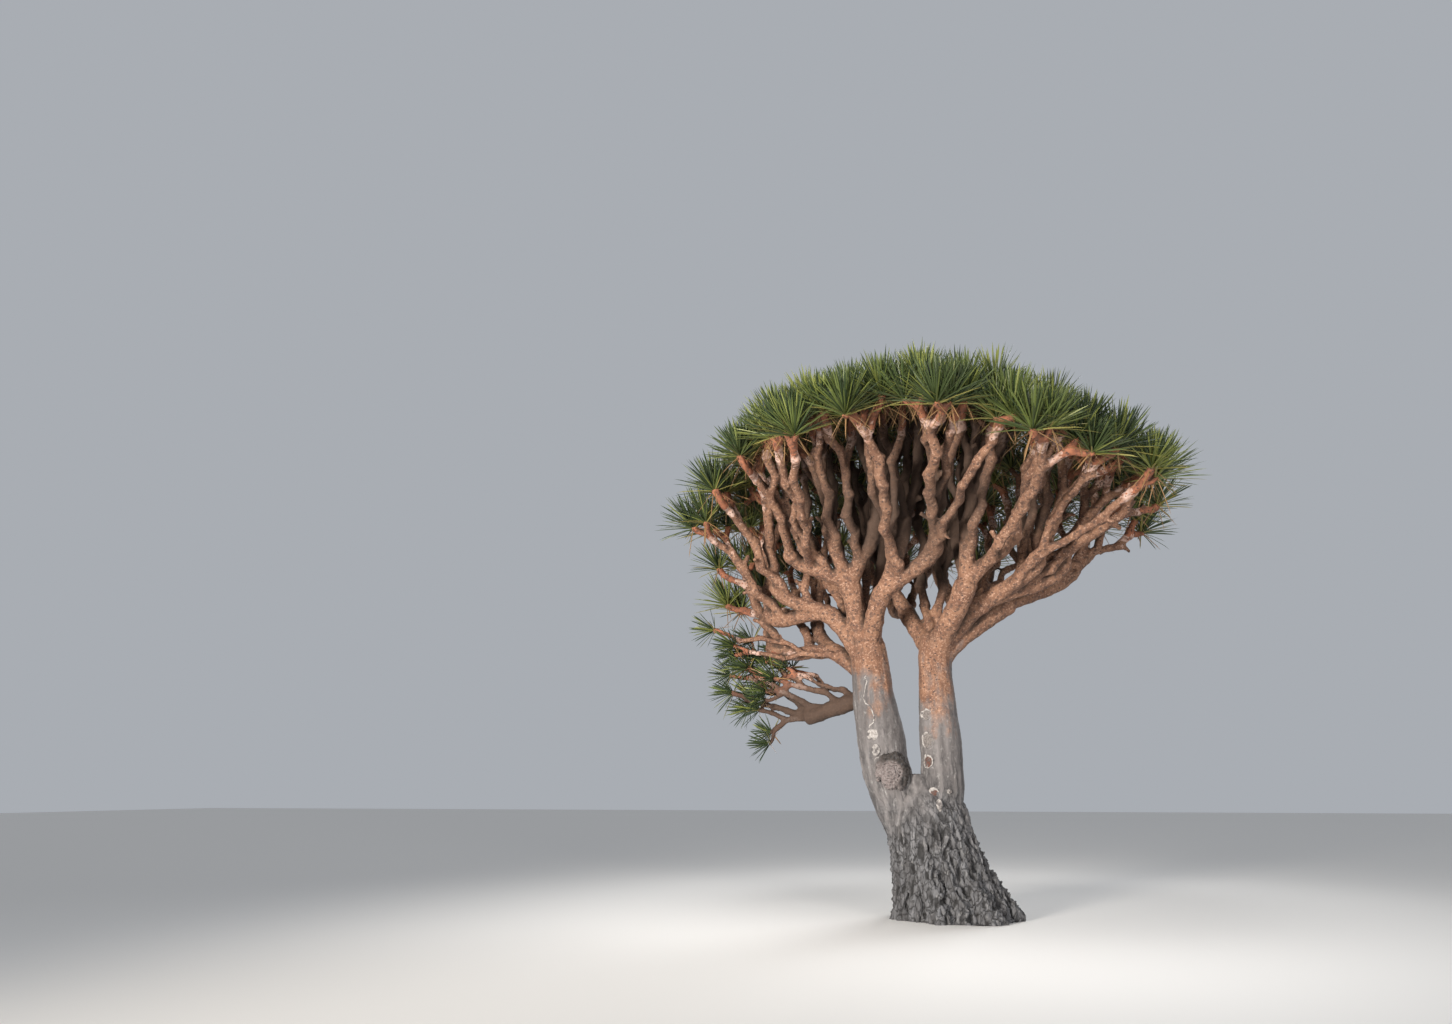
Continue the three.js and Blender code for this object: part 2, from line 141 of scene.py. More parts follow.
# Main boughs: stem, azimuth, reach, height of the fork, and how far below the stem's top they spring
MAIN_BOUGHS = {
    "left": ("left_stem", 178, 0.440, 2.800, 0.230),
    "front_left": ("left_stem", 228, 0.220, 3.040, 0.060),
    "front_mid": ("left_stem", 298, 0.430, 2.920, 0.080),
    "rear_left": ("left_stem", 150, 0.430, 2.440, 0.380),
    "rear_mid": ("left_stem", 70, 0.300, 2.990, 0.100),
    "front_right": ("right_stem", 308, 0.560, 2.960, 0.060),
    "right": ("right_stem", 343, 0.540, 2.820, 0.110),
    "far_right": ("right_stem", 14, 0.770, 2.845, 0.170),
    "rear_right": ("right_stem", 62, 0.560, 2.860, 0.120),
    "rear": ("right_stem", 124, 0.450, 2.830, 0.090),
}

# Upper boughs: what each springs from, azimuth, reach and height of its end
UPPER_BOUGHS = {
    "left_outer": ("left", 181, 0.900, 3.100),
    "left_rear": ("left", 166, 1.050, 2.880),
    "front_left_outer": ("front_left", 210, 0.800, 3.330),
    "front_left_inner": ("front_left", 238, 0.560, 3.560),
    "front_left_top": ("front_left", 288, 0.500, 3.600),
    "front_mid_top": ("front_mid", 304, 0.780, 3.560),
    "front_mid_low": ("front_mid", 318, 0.940, 3.290),
    "rear_left_low": ("rear_left", 160, 1.080, 2.540),
    "rear_left_high": ("rear_left", 130, 0.900, 2.820),
    "rear_mid_outer": ("rear_mid", 84, 0.900, 3.330),
    "rear_mid_top": ("rear_mid", 40, 0.300, 3.640),
    "front_right_top": ("front_right", 302, 0.740, 3.480),
    "front_right_outer": ("front_right", 320, 1.050, 3.360),
    "crown_top": ("front_right", 5, 0.330, 3.660),
    "right_upper": ("right", 340, 1.080, 3.170),
    "right_lower": ("right", 358, 1.270, 3.190),
    "far_right_outer": ("far_right", 17, 1.500, 3.260),
    "far_right_rear": ("far_right", 38, 1.300, 3.180),
    "rear_right_outer": ("rear_right", 60, 1.270, 3.130),
    "rear_right_top": ("rear_right", 82, 0.760, 3.380),
    "rear_outer": ("rear", 108, 1.260, 3.080),
    "rear_top": ("rear", 138, 0.620, 3.330),
}
LEAVING_RISE = 1.25  # how steeply a main bough leaves its stem
FORK_SHARE = 0.8  # the share of its tips that still sets a main bough's radius where it forks
ROOT_DEPTH = 0.060  # how deep an upper bough starts inside its main bough
print(len(STEMS), "stems,", len(MAIN_BOUGHS), "main boughs and", len(UPPER_BOUGHS), "upper boughs")

# %% [markdown]
# A few rules of place and growth. A bow is a curve that leaves one point along a heading and arrives at
# another along a second one, which is what one Bezier segment does. A limb's thickness follows the number
# of twig ends that it carries, as it does on a real tree, where every end feeds its own strand of wood.

# %% Places, headings and bows
TIP_RADIUS = 0.040


def flat_point(origin, azimuth, reach, height):
    turn = math.radians(azimuth)
    return Vector((origin.x + reach * math.cos(turn), origin.y + reach * math.sin(turn), height))


def heading_of(azimuth, rise):
    return flat_point(Vector(), azimuth, 1, rise).normalized()


def middle_of(points):
    return sum(points, Vector()) / len(points)


def bow(start, heading, end, arriving):
    third = (end - start).length / 3
    return [start, start + heading * third, end - arriving * third, end]


def limb_radius(tips):
    return TIP_RADIUS * tips ** (1 / 3)


def evenly(values, share):
    """The value at a share, from 0 to 1, on a smooth line through evenly spaced values."""
    last = len(values) - 1
    i = min(int(share * last), last - 1)
    t = share * last - i
    before, a, b, after = values[max(i - 1, 0)], values[i], values[i + 1], values[min(i + 2, last)]
    rise_a, rise_b = (b - before) / 2, (after - a) / 2
    cubic, square = 2 * a - 2 * b + rise_a + rise_b, 3 * b - 3 * a - 2 * rise_a - rise_b
    return cubic * t**3 + square * t**2 + rise_a * t + a


print("a bough with 7 ends is", round(2000 * limb_radius(7)), "mm thick")

# %% [markdown]
# Where the twigs end. From above, the ends lie like the seeds of a sunflower: each is turned on from the
# last by the golden angle, which spreads any number of them evenly over a disc. They are lifted onto the
# crown's umbrella, which is highest in the middle and falls to a rim that is lower at the back left. The
# plain model does the same with the same numbers, so both end in the same places.

# %% The ends of the twigs
CROWN_MIDDLE = (-0.110, 0)
CROWN_RADIUS = 2.280
CROWN_TOP = 4.720
# The height of the rim, every 30 degrees
CROWN_RIM = [3.65, 3.74, 3.74, 3.64, 3.32, 2.92, 3.34, 3.84, 3.94, 4.00, 3.76, 3.64, 3.65]
CROWN_ROUNDNESS = 2.3
CROWN_TIPS = 156
TIP_JITTER = 0.090
TILT_IN_MIDDLE, TILT_AT_RIM = 0.1, 0.7  # how far a rosette leans outwards
GOLDEN_ANGLE = math.pi * (3 - math.sqrt(5))


def seeded(seed):
    """Numbers from 0 to 1 that are the same on every run."""
    state = seed
    while True:
        state = (state * 16807) % 2147483647
        yield state / 2147483647


def between(draw, low, high):
    return low + (high - low) * next(draw)


def crown_tips():
    draw = seeded(41)
    tips = []
    for i in range(CROWN_TIPS):
        out = math.sqrt((i + 0.5) / CROWN_TIPS)
        angle = i * GOLDEN_ANGLE
        fall = CROWN_TOP - evenly(CROWN_RIM, (angle / (2 * math.pi)) % 1)
        jitter = [(next(draw) - 0.5) * TIP_JITTER for _ in range(3)]
        tilt = TILT_IN_MIDDLE + (TILT_AT_RIM - TILT_IN_MIDDLE) * out**2
        at = (
            CROWN_MIDDLE[0] + CROWN_RADIUS * out * math.cos(angle) + jitter[0],
            CROWN_MIDDLE[1] + CROWN_RADIUS * out * math.sin(angle) + jitter[1],
            CROWN_TOP - fall * out**CROWN_ROUNDNESS + jitter[2],
        )
        axis = Vector((tilt * math.cos(angle), tilt * math.sin(angle), 1)).normalized()
        tips.append({"at": Vector(at), "axis": axis, "exact": at})
    return tips


def middle_of_ends(tips):
    return middle_of([tip["at"] for tip in tips])


tips = crown_tips()
print(len(tips), "twigs end between", round(min(tip["at"].z for tip in tips), 2), "and",
      round(max(tip["at"].z for tip in tips), 2), "m above the ground")

# %% [markdown]
# Every end is fed by one upper bough. Each goes to the nearest, but then some boughs would have none, so a
# bough that has too many gets a handicap that makes it seem further away, and the dealing is done again
# until the numbers are even. The plain model's masses of foliage tell whether both dealt alike: each end
# has to lie inside the box of its own mass.

# %% Deal the ends out to the boughs
DEALING_ROUNDS = 120
DEALING_STEP = 0.002


def stem_top(stem):
    return Vector(STEMS[stem]["line"][-1])


def upper_end(name):
    main, azimuth, reach, height = UPPER_BOUGHS[name]
    return flat_point(stem_top(MAIN_BOUGHS[main][0]), azimuth, reach, height)


def deal(tips):
    names = list(UPPER_BOUGHS)
    places = np.array([tip["exact"] for tip in tips])
    ends = np.array([upper_end(name) for name in names])
    distance = np.linalg.norm(places[:, None] - ends[None], axis=2)
    handicap = np.zeros(len(names))
    for _ in range(DEALING_ROUNDS):
        owner = (distance + handicap).argmin(axis=1)
        counts = np.bincount(owner, minlength=len(names))
        handicap += DEALING_STEP * (counts - len(tips) / len(names))
    return {name: [tip for tip, own in zip(tips, owner) if own == i] for i, name in enumerate(names)}


def strays(name, tips):
    low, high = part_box("foliage_" + name)
    return sum(any(tip["at"][i] < low[i] or tip["at"][i] > high[i] for i in range(3)) for tip in tips)


dealt = deal(tips)
print("ends for each bough:", [len(dealt[name]) for name in dealt])
print("ends outside their mass:", sum(strays(name, dealt[name]) for name in dealt))

# %% [markdown]
# The middle lines of the boughs. A main bough leaves its stem steeply and turns towards the middle of what
# springs from its fork. An upper bough starts inside that fork and ends in the middle of its own twigs. The
# low bough is an odd one: it leaves the left stem halfway up, and carries a fan with eighteen ends of its
# own, of which the plain model has the eight outermost. Two of them hang low and the others climb away to
# the left, so they are given one by one, measured from the bough's end.

# %% The lines of the boughs
LOW_BOUGH = {"azimuth": 160, "springs": 1.930, "reach": 0.760, "height": 1.790, "carries": (12, 8)}
LOW_LEAVING_RISE, LOW_ARRIVING_RISE = 0.1, -0.15
LOW_TIPS = [  # azimuth, reach and height
    (178, 0.400, 1.600), (172, 0.500, 1.880), (187, 0.600, 2.290), (164, 0.860, 2.260),
    (179, 0.950, 2.700), (168, 0.660, 2.550), (140, 0.640, 2.170), (115, 0.450, 2.330),
    (198, 0.340, 2.120), (152, 0.340, 2.480), (172, 0.780, 2.060), (172, 0.420, 2.360),
    (186, 0.730, 2.480), (158, 0.560, 2.290), (190, 0.420, 1.960), (163, 0.640, 1.960),
    (150, 0.640, 2.460), (180, 0.250, 2.250),
]
LOW_TIP_RISE = 0.3  # how steeply their rosettes stand


def uppers_on(main):
    return [name for name, bough in UPPER_BOUGHS.items() if bough[0] == main]


def main_line(name):
    stem, azimuth, reach, height, drop = MAIN_BOUGHS[name]
    top = stem_top(stem)
    fork = flat_point(top, azimuth, reach, height)
    onward = middle_of([upper_end(upper) for upper in uppers_on(name)]) - fork
    return bow(top - Vector((0, 0, drop)), heading_of(azimuth, LEAVING_RISE), fork, onward.normalized())


def end_heading(line):
    return (line[3] - line[2]).normalized()


def upper_line(name, mains):
    fork, heading = mains[UPPER_BOUGHS[name][0]][3], end_heading(mains[UPPER_BOUGHS[name][0]])
    end = upper_end(name)
    leaving = ((end - fork).normalized() + heading).normalized()
    onward = middle_of_ends(dealt[name]) - end
    return bow(fork - heading * ROOT_DEPTH, leaving, end, onward.normalized())


def low_line():
    below, above = STEMS["left_stem"]["line"][2:]
    root = Vector(below).lerp(Vector(above), (LOW_BOUGH["springs"] - below[2]) / (above[2] - below[2]))
    end = flat_point(root, LOW_BOUGH["azimuth"], LOW_BOUGH["reach"], LOW_BOUGH["height"])
    leaving = heading_of(LOW_BOUGH["azimuth"], LOW_LEAVING_RISE)
    return bow(root, leaving, end, heading_of(LOW_BOUGH["azimuth"], LOW_ARRIVING_RISE))


def low_tips(end):
    return [
        {"at": flat_point(end, azimuth, reach, height), "axis": heading_of(azimuth, LOW_TIP_RISE)}
        for azimuth, reach, height in LOW_TIPS
    ]


main_lines = {name: main_line(name) for name in MAIN_BOUGHS}
upper_lines = {name: upper_line(name, main_lines) for name in UPPER_BOUGHS}
upper_lines["low"] = low_line()
dealt["low"] = low_tips(upper_lines["low"][3])
print("the low bough ends at", [round(c, 2) for c in upper_lines["low"][3]])

# %% [markdown]
# Four hand tools that many steps use. An operator works on whatever is selected, so before each step
# everything is let go and only the piece in hand is picked. A modifier is added, set and applied at once,
# so that the mesh itself has the shape. Several pieces are joined into one under a name of its own. Last, a
# piece is settled: its place, turn and size go into its mesh.

# %% Pick, apply, join and settle


def pick(*pieces):
    bpy.ops.object.select_all(action="DESELECT")
    for piece in pieces:
        piece.select_set(True)
    bpy.context.view_layer.objects.active = pieces[0]


def apply_modifier(piece, kind, **settings):
    pick(piece)
    modifier = piece.modifiers.new(kind.lower(), kind)
    for setting, value in settings.items():
        setattr(modifier, setting, value)
    bpy.ops.object.modifier_apply(modifier=modifier.name)


def join(name, pieces):
    pick(*pieces)
    bpy.ops.object.join()
    pieces[0].name = name
    pieces[0].data.name = name
    return pieces[0]


def settle(piece):
    """Puts a piece's place, turn and size into its mesh, so that its object sits at the origin."""
    pick(piece)
    bpy.ops.object.transform_apply(location=True, rotation=True, scale=True)


# %% [markdown]
# One limb, modelled once. It could be a stretched cylinder, but the limbs of this tree are a little swollen
# at both ends, like sausages, where the forks strain them. So it is drawn as a potter would: a disc is
# pulled up ring by ring, each ring a little narrower or wider than the last, and the last one is drawn in
# to a rounded end. Every bough is a copy of it that a Curve modifier lays along a drawn route, thick or
# thin as the route says.

# %% The master limb
LIMB_SIDES = 16
LIMB_PLACES = [0, 0.012, 0.04, 0.12, 0.2, 0.3, 0.4, 0.5, 0.6, 0.7, 0.8, 0.88, 0.96, 0.988, 1]
SWELLING = 0.12  # how much thinner a limb is in the middle than near its ends
ROUNDED = 0.04  # the share of its length over which each end is rounded off
BLUNTED = 0.7  # how far the rounding goes: at 1 the ends would be points


def limb_profile(share, swelling=SWELLING):
    """The radius of a limb at a share of its length, as a share of its full radius."""
    swollen = 1 - swelling * (1 - abs(2 * share - 1) ** 3)
    from_end = np.minimum(np.minimum(share, 1 - share) / ROUNDED, 1)
    return swollen * np.sqrt(1 - BLUNTED * (1 - from_end) ** 2)


def model_limb():
    radius = float(limb_profile(0))
    bpy.ops.mesh.primitive_circle_add(vertices=LIMB_SIDES, radius=radius, fill_type="NGON")
    limb = bpy.context.object
    bpy.ops.object.mode_set(mode="EDIT")
    for before, place in zip(LIMB_PLACES, LIMB_PLACES[1:]):
        wider = float(limb_profile(place) / limb_profile(before))
        bpy.ops.mesh.extrude_region_move(TRANSFORM_OT_translate={"value": (0, 0, place - before)})
        bpy.ops.transform.resize(value=(wider, wider, 1), center_override=(0, 0, 0))
    bpy.ops.object.mode_set(mode="OBJECT")
    limb.name = "master_limb"
    return limb


master_limb = model_limb()
print("the master limb has", len(master_limb.data.polygons), "faces")

# %% Lay a copy of it along a route


def draw_route(places, radii, handles=None):
    """A Bezier curve through places, with smooth handles, or with the two inner handles of a bow."""
    bpy.ops.curve.primitive_bezier_curve_add()
    route = bpy.context.object
    route.data.resolution_u = 20
    route.data.use_stretch = True
    route.data.use_deform_bounds = True
    spline = route.data.splines[0]
    spline.bezier_points.add(len(places) - len(spline.bezier_points))
    for point, place, radius in zip(spline.bezier_points, places, radii):
        point.co = place
        point.radius = radius
        point.handle_left_type = point.handle_right_type = "AUTO"
    if handles:
        start, end = spline.bezier_points
        start.handle_left_type = start.handle_right_type = "FREE"
        end.handle_left_type = end.handle_right_type = "FREE"
        start.handle_right, end.handle_left = handles
        start.handle_left = 2 * start.co - start.handle_right
        end.handle_right = 2 * end.co - end.handle_left
    return route


def limb_along(route):
    limb = master_limb.copy()
    limb.data = master_limb.data.copy()
    bpy.context.collection.objects.link(limb)
    apply_modifier(limb, "CURVE", object=route, deform_axis="POS_Z")
    bpy.data.objects.remove(route)
    return limb


def limb_on_bow(line, radius_from, radius_to):
    return limb_along(draw_route([line[0], line[3]], [radius_from, radius_to], (line[1], line[2])))


# %% [markdown]
# The foot of the tree. A disc just under the ground is pulled up ring by ring along the trunk's lean, and
# narrowed to the half sizes given above. Towards its top it closes and flattens, so that the two stems
# stand out of it. Round it stand folds, the muscles of the flare. Each is a limb that leans against the
# trunk, thick at the ground and thin where it runs out above, and a few finer strands run on up into the
# stems. Once all is welded together, only their backs will show.

# %% The foot
FOOT_SIDES = 40
FOOT_RINGS = 12
FOOT_CLOSES = (0.74, 0.42)  # above this share of its height, the foot draws in to this share of its width
FOOT_FLATTENS = (0.50, 0.40)  # and above this one to this share of its depth, so that the stems stand out
GROUND_ALLOWANCE = 0.06  # how far the foot goes below the ground, until it is cut off flat


def drawn_in(share, above, to):
    return 1 - (1 - to) * max(0, (share - above) / (1 - above)) ** 2


def model_foot():
    bpy.ops.mesh.primitive_circle_add(
        vertices=FOOT_SIDES, radius=1, fill_type="NGON", location=(TRUNK_LEAN[0], 0, -GROUND_ALLOWANCE)
    )
    foot = bpy.context.object
    bpy.ops.object.mode_set(mode="EDIT")
    size = (TRUNK_HALF_WIDTH[0], TRUNK_HALF_DEPTH[0])
    at = Vector((TRUNK_LEAN[0], 0, -GROUND_ALLOWANCE))
    bpy.ops.transform.resize(value=(*size, 1), center_override=at)
    for ring in range(FOOT_RINGS + 1):
        share = ring / FOOT_RINGS
        new_at = Vector((evenly(TRUNK_LEAN, share), 0, share * TRUNK_HEIGHT))
        narrow, thin = drawn_in(share, *FOOT_CLOSES), drawn_in(share, *FOOT_FLATTENS)
        new_size = (narrow * evenly(TRUNK_HALF_WIDTH, share), thin * evenly(TRUNK_HALF_DEPTH, share))
        bpy.ops.mesh.extrude_region_move(TRANSFORM_OT_translate={"value": new_at - at})
        wider = (new_size[0] / size[0], new_size[1] / size[1], 1)
        bpy.ops.transform.resize(value=wider, center_override=new_at)
        at, size = new_at, new_size
    bpy.ops.object.mode_set(mode="OBJECT")
    settle(foot)
    return foot


# %% The folds of the flare and the strands above them
FOLDS = 7
FOLD_TURN = 0.6  # radians
FOLD_STRAYS = (-0.1, 0.1)  # how far a fold stands off its even place, in radians
FOLD_SIZES = (0.85, 1.15)
SMALL_FOLD = 0.62  # the size of the folds between the big ones
FLARE = 0.16  # how far a fold stands out at the ground, as a share of the trunk's half size
FOLD_HEIGHTS = (0.55, 1.0)
FOLD_RADII = (0.105, 0.040)
FOLD_LEANS = (-0.044, 0.176)  # how far round the trunk a fold wanders on its way up, in radians
FOLD_ANKLE = 0.12  # the height of its second place
FOLD_COURSE = [  # at its four places, the shares of its lean, of the way out to the skin, and of its flare
    (0, 0.89, 1), (0.2, 0.96, 0.3), (0.6, 0.93, 0), (1, 0.86, 0),
]
STRANDS = 13
STRAND_SPAN = (0.35, 1.50)
STRAND_SPAN_STRAYS = (-0.15, 0.15)
STRAND_STARTS_OUT = 0.92  # as a share of the way out to the skin of the trunk
STRAND_RADIUS = 0.045
STRAND_SHARES = (0.8, 1.0, 0.8, 0.3)  # of that radius, from bottom to top


def on_trunk(angle, height, outwards):
    """A point at a share of the way out to the trunk's surface."""
    share = min(height / TRUNK_HEIGHT, 1)
    across = evenly(TRUNK_HALF_WIDTH, share) * outwards * math.cos(angle)
    over = evenly(TRUNK_HALF_DEPTH, share) * outwards * math.sin(angle)
    return Vector((evenly(TRUNK_LEAN, share) + across, over, height))


def stem_share(stem, height):
    heights = [point[2] for point in STEMS[stem]["line"]]
    return float(np.interp(height, heights, np.linspace(0, 1, len(heights))))


def stem_middle(stem, height):
    share = stem_share(stem, height)
    x, y = (evenly([point[i] for point in STEMS[stem]["line"]], share) for i in (0, 1))
    return Vector((x, y, height))


def stem_radius(stem, height):
    return evenly(STEMS[stem]["radii"], stem_share(stem, height))


def fold(number, draw):
    """A big fold at each of the flare's ridges, and a small one between two of them."""
    angle = (math.pi * number - FOLD_TURN) / FOLDS + between(draw, *FOLD_STRAYS)
    top = between(draw, *FOLD_HEIGHTS)
    lean = between(draw, *FOLD_LEANS)
    size = (1 if number % 2 == 0 else SMALL_FOLD) * between(draw, *FOLD_SIZES)
    heights = (-GROUND_ALLOWANCE, FOLD_ANKLE, 0.5 * top, top)
    places = [
        on_trunk(angle + turned * lean, height, out + flared * FLARE * size)
        for (turned, out, flared), height in zip(FOLD_COURSE, heights)
    ]
    thick, thin = (radius * size for radius in FOLD_RADII)
    return limb_along(draw_route(places, [thick * 1.15, thick, 0.6 * (thick + thin), thin]))


def strand(number, draw):
    """A strand of wood that runs from the lower trunk up one of the stems, just under its bark."""
    stem = list(STEMS)[number % 2]
    angle = 2 * math.pi * (number + next(draw)) / STRANDS
    low, high = (z + between(draw, *STRAND_SPAN_STRAYS) for z in STRAND_SPAN)
    ring = Vector((math.cos(angle), math.sin(angle), 0))
    places = [on_trunk(angle, low, STRAND_STARTS_OUT)]
    for height in (0.62 * low + 0.38 * high, 0.3 * low + 0.7 * high, high):
        places.append(stem_middle(stem, height) + ring * (stem_radius(stem, height) - 0.6 * STRAND_RADIUS))
    return limb_along(draw_route(places, [STRAND_RADIUS * share for share in STRAND_SHARES]))


foot_parts = [model_foot()]
draw = seeded(7)
foot_parts += [fold(number, draw) for number in range(2 * FOLDS)]
foot_parts += [strand(number, draw) for number in range(STRANDS)]
print("the foot is made of", len(foot_parts), "shapes so far")

# %% [markdown]
# The stems are two copies of the master limb, each with a saddle on top that fills the crotch between its
# boughs. From there spring the main boughs. Only the first stretch of each bough belongs to this piece, so
# that it flows out of the stem with no seam. Further out a second piece takes over: there the stub draws in
# a little and disappears inside it.

# %% The stems and the stubs of the boughs
STEM_WIDER = 1.09  # makes up for the waist of the master limb
STEM_DRAWS_IN = 0.87  # the share of its radius that a stem keeps at its top, among the roots of its boughs
STEM_SADDLE = (0.170, 0.55)  # how far stems run on above their tops, and what they keep of their radius
STUB_LENGTH = 0.62  # the share of a main bough that its stub covers
STUB_STARTS_AT, STUB_ENDS_AT = 1.34, 0.80  # its radii, as shares of the bough's own
LOW_STUB = (0.35, 0.7)  # the share of the low bough that its stub covers, and what it keeps of its radius


def tips_carried(main):
    return sum(len(dealt[name]) for name in uppers_on(main))


def cut_bow(line, share):
    """The first share of a bow, by halving its handles the way Bezier curves are split."""
    a, b, c, d = line
    ab, bc, cd = a.lerp(b, share), b.lerp(c, share), c.lerp(d, share)
    abc, bcd = ab.lerp(bc, share), bc.lerp(cd, share)
    return [a, ab, abc, abc.lerp(bcd, share)]


def stub(name):
    carried = tips_carried(name)
    at_end = limb_radius(carried * (1 + (FORK_SHARE - 1) * STUB_LENGTH))
    line = cut_bow(main_lines[name], STUB_LENGTH)
    return limb_on_bow(line, STUB_STARTS_AT * limb_radius(carried), STUB_ENDS_AT * at_end)


def stem_limb(stem):
    """A stem, with the saddle on top of it."""
    rise, narrower = STEM_SADDLE
    x, y, z = stem["line"][-1]
    radii = [STEM_WIDER * radius for radius in stem["radii"]]
    radii[-1] *= STEM_DRAWS_IN
    return limb_along(draw_route(stem["line"] + [(x, y, z + rise)], radii + [radii[-1] * narrower]))


stem_limbs = [stem_limb(stem) for stem in STEMS.values()]
stubs = [stub(name) for name in MAIN_BOUGHS]
low_radius = limb_radius(LOW_BOUGH["carries"][0])
stubs.append(limb_on_bow(cut_bow(upper_lines["low"], LOW_STUB[0]), low_radius, LOW_STUB[1] * low_radius))
print(len(stem_limbs), "stems with", len(stubs), "stubs")

# %% [markdown]
# Now foot and stems become two bodies that sit in each other. A voxel Remesh lays a fresh even skin over
# shapes that were joined and drops what is inside, and a Smooth modifier rounds the creases between them,
# so that folds flow into the foot and boughs into the stems like grown wood. The foot has the smaller
# voxels, because its bark is the roughest. Where the strands of the foot run up the stems, the two bodies
# meet as bark does on the tree: the old bark below ends ragged on the smooth bark above.

# %% Weld foot and stems
FOOT_VOXEL = 0.0087
STEM_VOXEL = 0.0105


def weld(name, parts, voxel, rounds):
    piece = join(name, parts)
    apply_modifier(piece, "REMESH", mode="VOXEL", voxel_size=voxel)
    apply_modifier(piece, "SMOOTH", factor=0.5, iterations=rounds)
    print(name, "has a skin of", len(piece.data.polygons), "faces")
    return piece


foot = weld("foot_wood", foot_parts, FOOT_VOXEL, 4)
stems = weld("stem_wood", stem_limbs + stubs, STEM_VOXEL, 16)

# %% [markdown]
# Relief. The foot has deep furrows that run up and down, the stems are almost smooth with shallow lumps,
# and everything is a little rough. Displace modifiers push the skin out and in by a texture. A texture is
# stretched upright by reading it through an empty that is taller than wide, and vertex groups keep each
# pattern to its own heights. How far each point moved is kept as an attribute, so the bark can be darker in
# its furrows.

# %% Tools for relief


def texture(name, kind, size, **settings):
    made = bpy.data.textures.new(name, kind)
    made.noise_scale = size
    for setting, value in settings.items():
        setattr(made, setting, value)
    return made


def ruler(stretch):
    """An empty that a texture is read through: what it is stretched by, the pattern is too."""
    bpy.ops.object.empty_add(location=(0, 0, 0))
    bpy.context.object.scale = stretch
    bpy.context.view_layer.update()
    return bpy.context.object


def vectors_of(items, key):
    flat = np.empty(len(items) * 3, np.float32)
    items.foreach_get(key, flat)
    return flat.reshape(-1, 3).astype(float)


def points_of(piece):
    return vectors_of(piece.data.vertices, "co")


def normals_of(piece):
    return vectors_of(piece.data.vertex_normals, "vector")


def keep_attribute(piece, name, values):
    kept = piece.data.attributes.get(name) or piece.data.attributes.new(name, "FLOAT", "POINT")
    kept.data.foreach_set("value", np.asarray(values, np.float32))


def smooth_step(values, start, end):
    share = np.clip((values - start) / (end - start), 0, 1)
    return share * share * (3 - 2 * share)


def weigh(piece, name, weights):
    """A vertex group from an array of weights, dealt out in twenty steps."""
    group = piece.vertex_groups.new(name=name)
    steps = np.round(weights * 20).astype(int)
    for step in range(1, 21):
        group.add(np.flatnonzero(steps == step).tolist(), step / 20, "REPLACE")


def displace(piece, pattern, strength, stretch=(1, 1, 1), group=""):
    through = ruler(stretch)
    apply_modifier(
        piece, "DISPLACE", texture=pattern, texture_coords="OBJECT", texture_coords_object=through,
        strength=strength, mid_level=0.5, vertex_group=group,
    )
    bpy.data.objects.remove(through)


def add_relief(piece, layers):
    """Applies layers of displacement, and keeps how far they moved each point along its normal."""
    before, normals = points_of(piece), normals_of(piece)
    for layer in layers:
        displace(piece, *layer)
    moved = ((points_of(piece) - before) * normals).sum(axis=1)
    spread = max(moved.std(), 1e-6)
    keep_attribute(piece, "relief", np.clip(0.5 + 0.22 * (moved - moved.mean()) / spread, 0, 1))
    print(piece.name, "relief spreads by", round(1000 * spread, 1), "mm")


lumps = texture("lumps", "CLOUDS", 0.30, noise_depth=2)
knuckles = texture("knuckles", "CLOUDS", 0.11, noise_depth=1)
furrows = texture("furrows", "MUSGRAVE", 0.052, musgrave_type="RIDGED_MULTIFRACTAL", octaves=3)
ribs = texture("ribs", "CLOUDS", 0.042, noise_depth=2)
grain = texture("grain", "CLOUDS", 0.020, noise_depth=3)
flakes = texture("flakes", "VORONOI", 0.045)

# %% The relief of the foot and the stems
UPRIGHT = (1, 1, 3.0)  # how far the furrows are drawn out upwards
CALMS_DOWN = (0.55, 1.10)  # the heights between which the foot's bark gets less rough
TURNS_ROUGH = (2.15, 2.60)  # the heights between which the stems get the rough bark of the boughs

heights = points_of(foot)[:, 2]
weigh(foot, "rough", 1 - 0.8 * smooth_step(heights, *CALMS_DOWN))
displace(foot, lumps, 0.050, (1, 1, 1.6))
add_relief(foot, [
    (furrows, 0.030, UPRIGHT, "rough"),
    (ribs, 0.024, (1, 1, 3.5), "rough"),
    (flakes, 0.016, (1, 1, 1.6), "rough"),
    (grain, 0.016, (1, 1, 1.4), "rough"),
])

heights = points_of(stems)[:, 2]
weigh(stems, "upper", smooth_step(heights, *TURNS_ROUGH))
weigh(stems, "lower", 1 - smooth_step(heights, *TURNS_ROUGH))
displace(stems, lumps, 0.040, (1, 1, 1.3))
add_relief(stems, [
    (knuckles, 0.020, (1, 1, 1), "upper"),
    (ribs, 0.009, (1, 1, 9), "lower"),
    (flakes, 0.006, (1, 1, 1), "upper"),
    (flakes, 0.003, (1, 1, 0.7), "lower"),
    (grain, 0.006),
])

# %% [markdown]
# The foot still reaches a little below the ground. Bisect cuts it off there, clears what is below and fills
# the cut, which leaves the flat underside that the tree stands on.

# %% Cut the foot off at ground level


def cut_at_ground(piece):
    pick(piece)
    bpy.ops.object.mode_set(mode="EDIT")
    bpy.ops.mesh.select_all(action="SELECT")
    bpy.ops.mesh.bisect(plane_co=(0, 0, 0), plane_no=(0, 0, 1), use_fill=True, clear_inner=True)
    bpy.ops.mesh.quads_convert_to_tris()
    bpy.ops.object.mode_set(mode="OBJECT")


cut_at_ground(foot)
print("the foot's lowest point is", round(min(v.co.z for v in foot.data.vertices), 4))

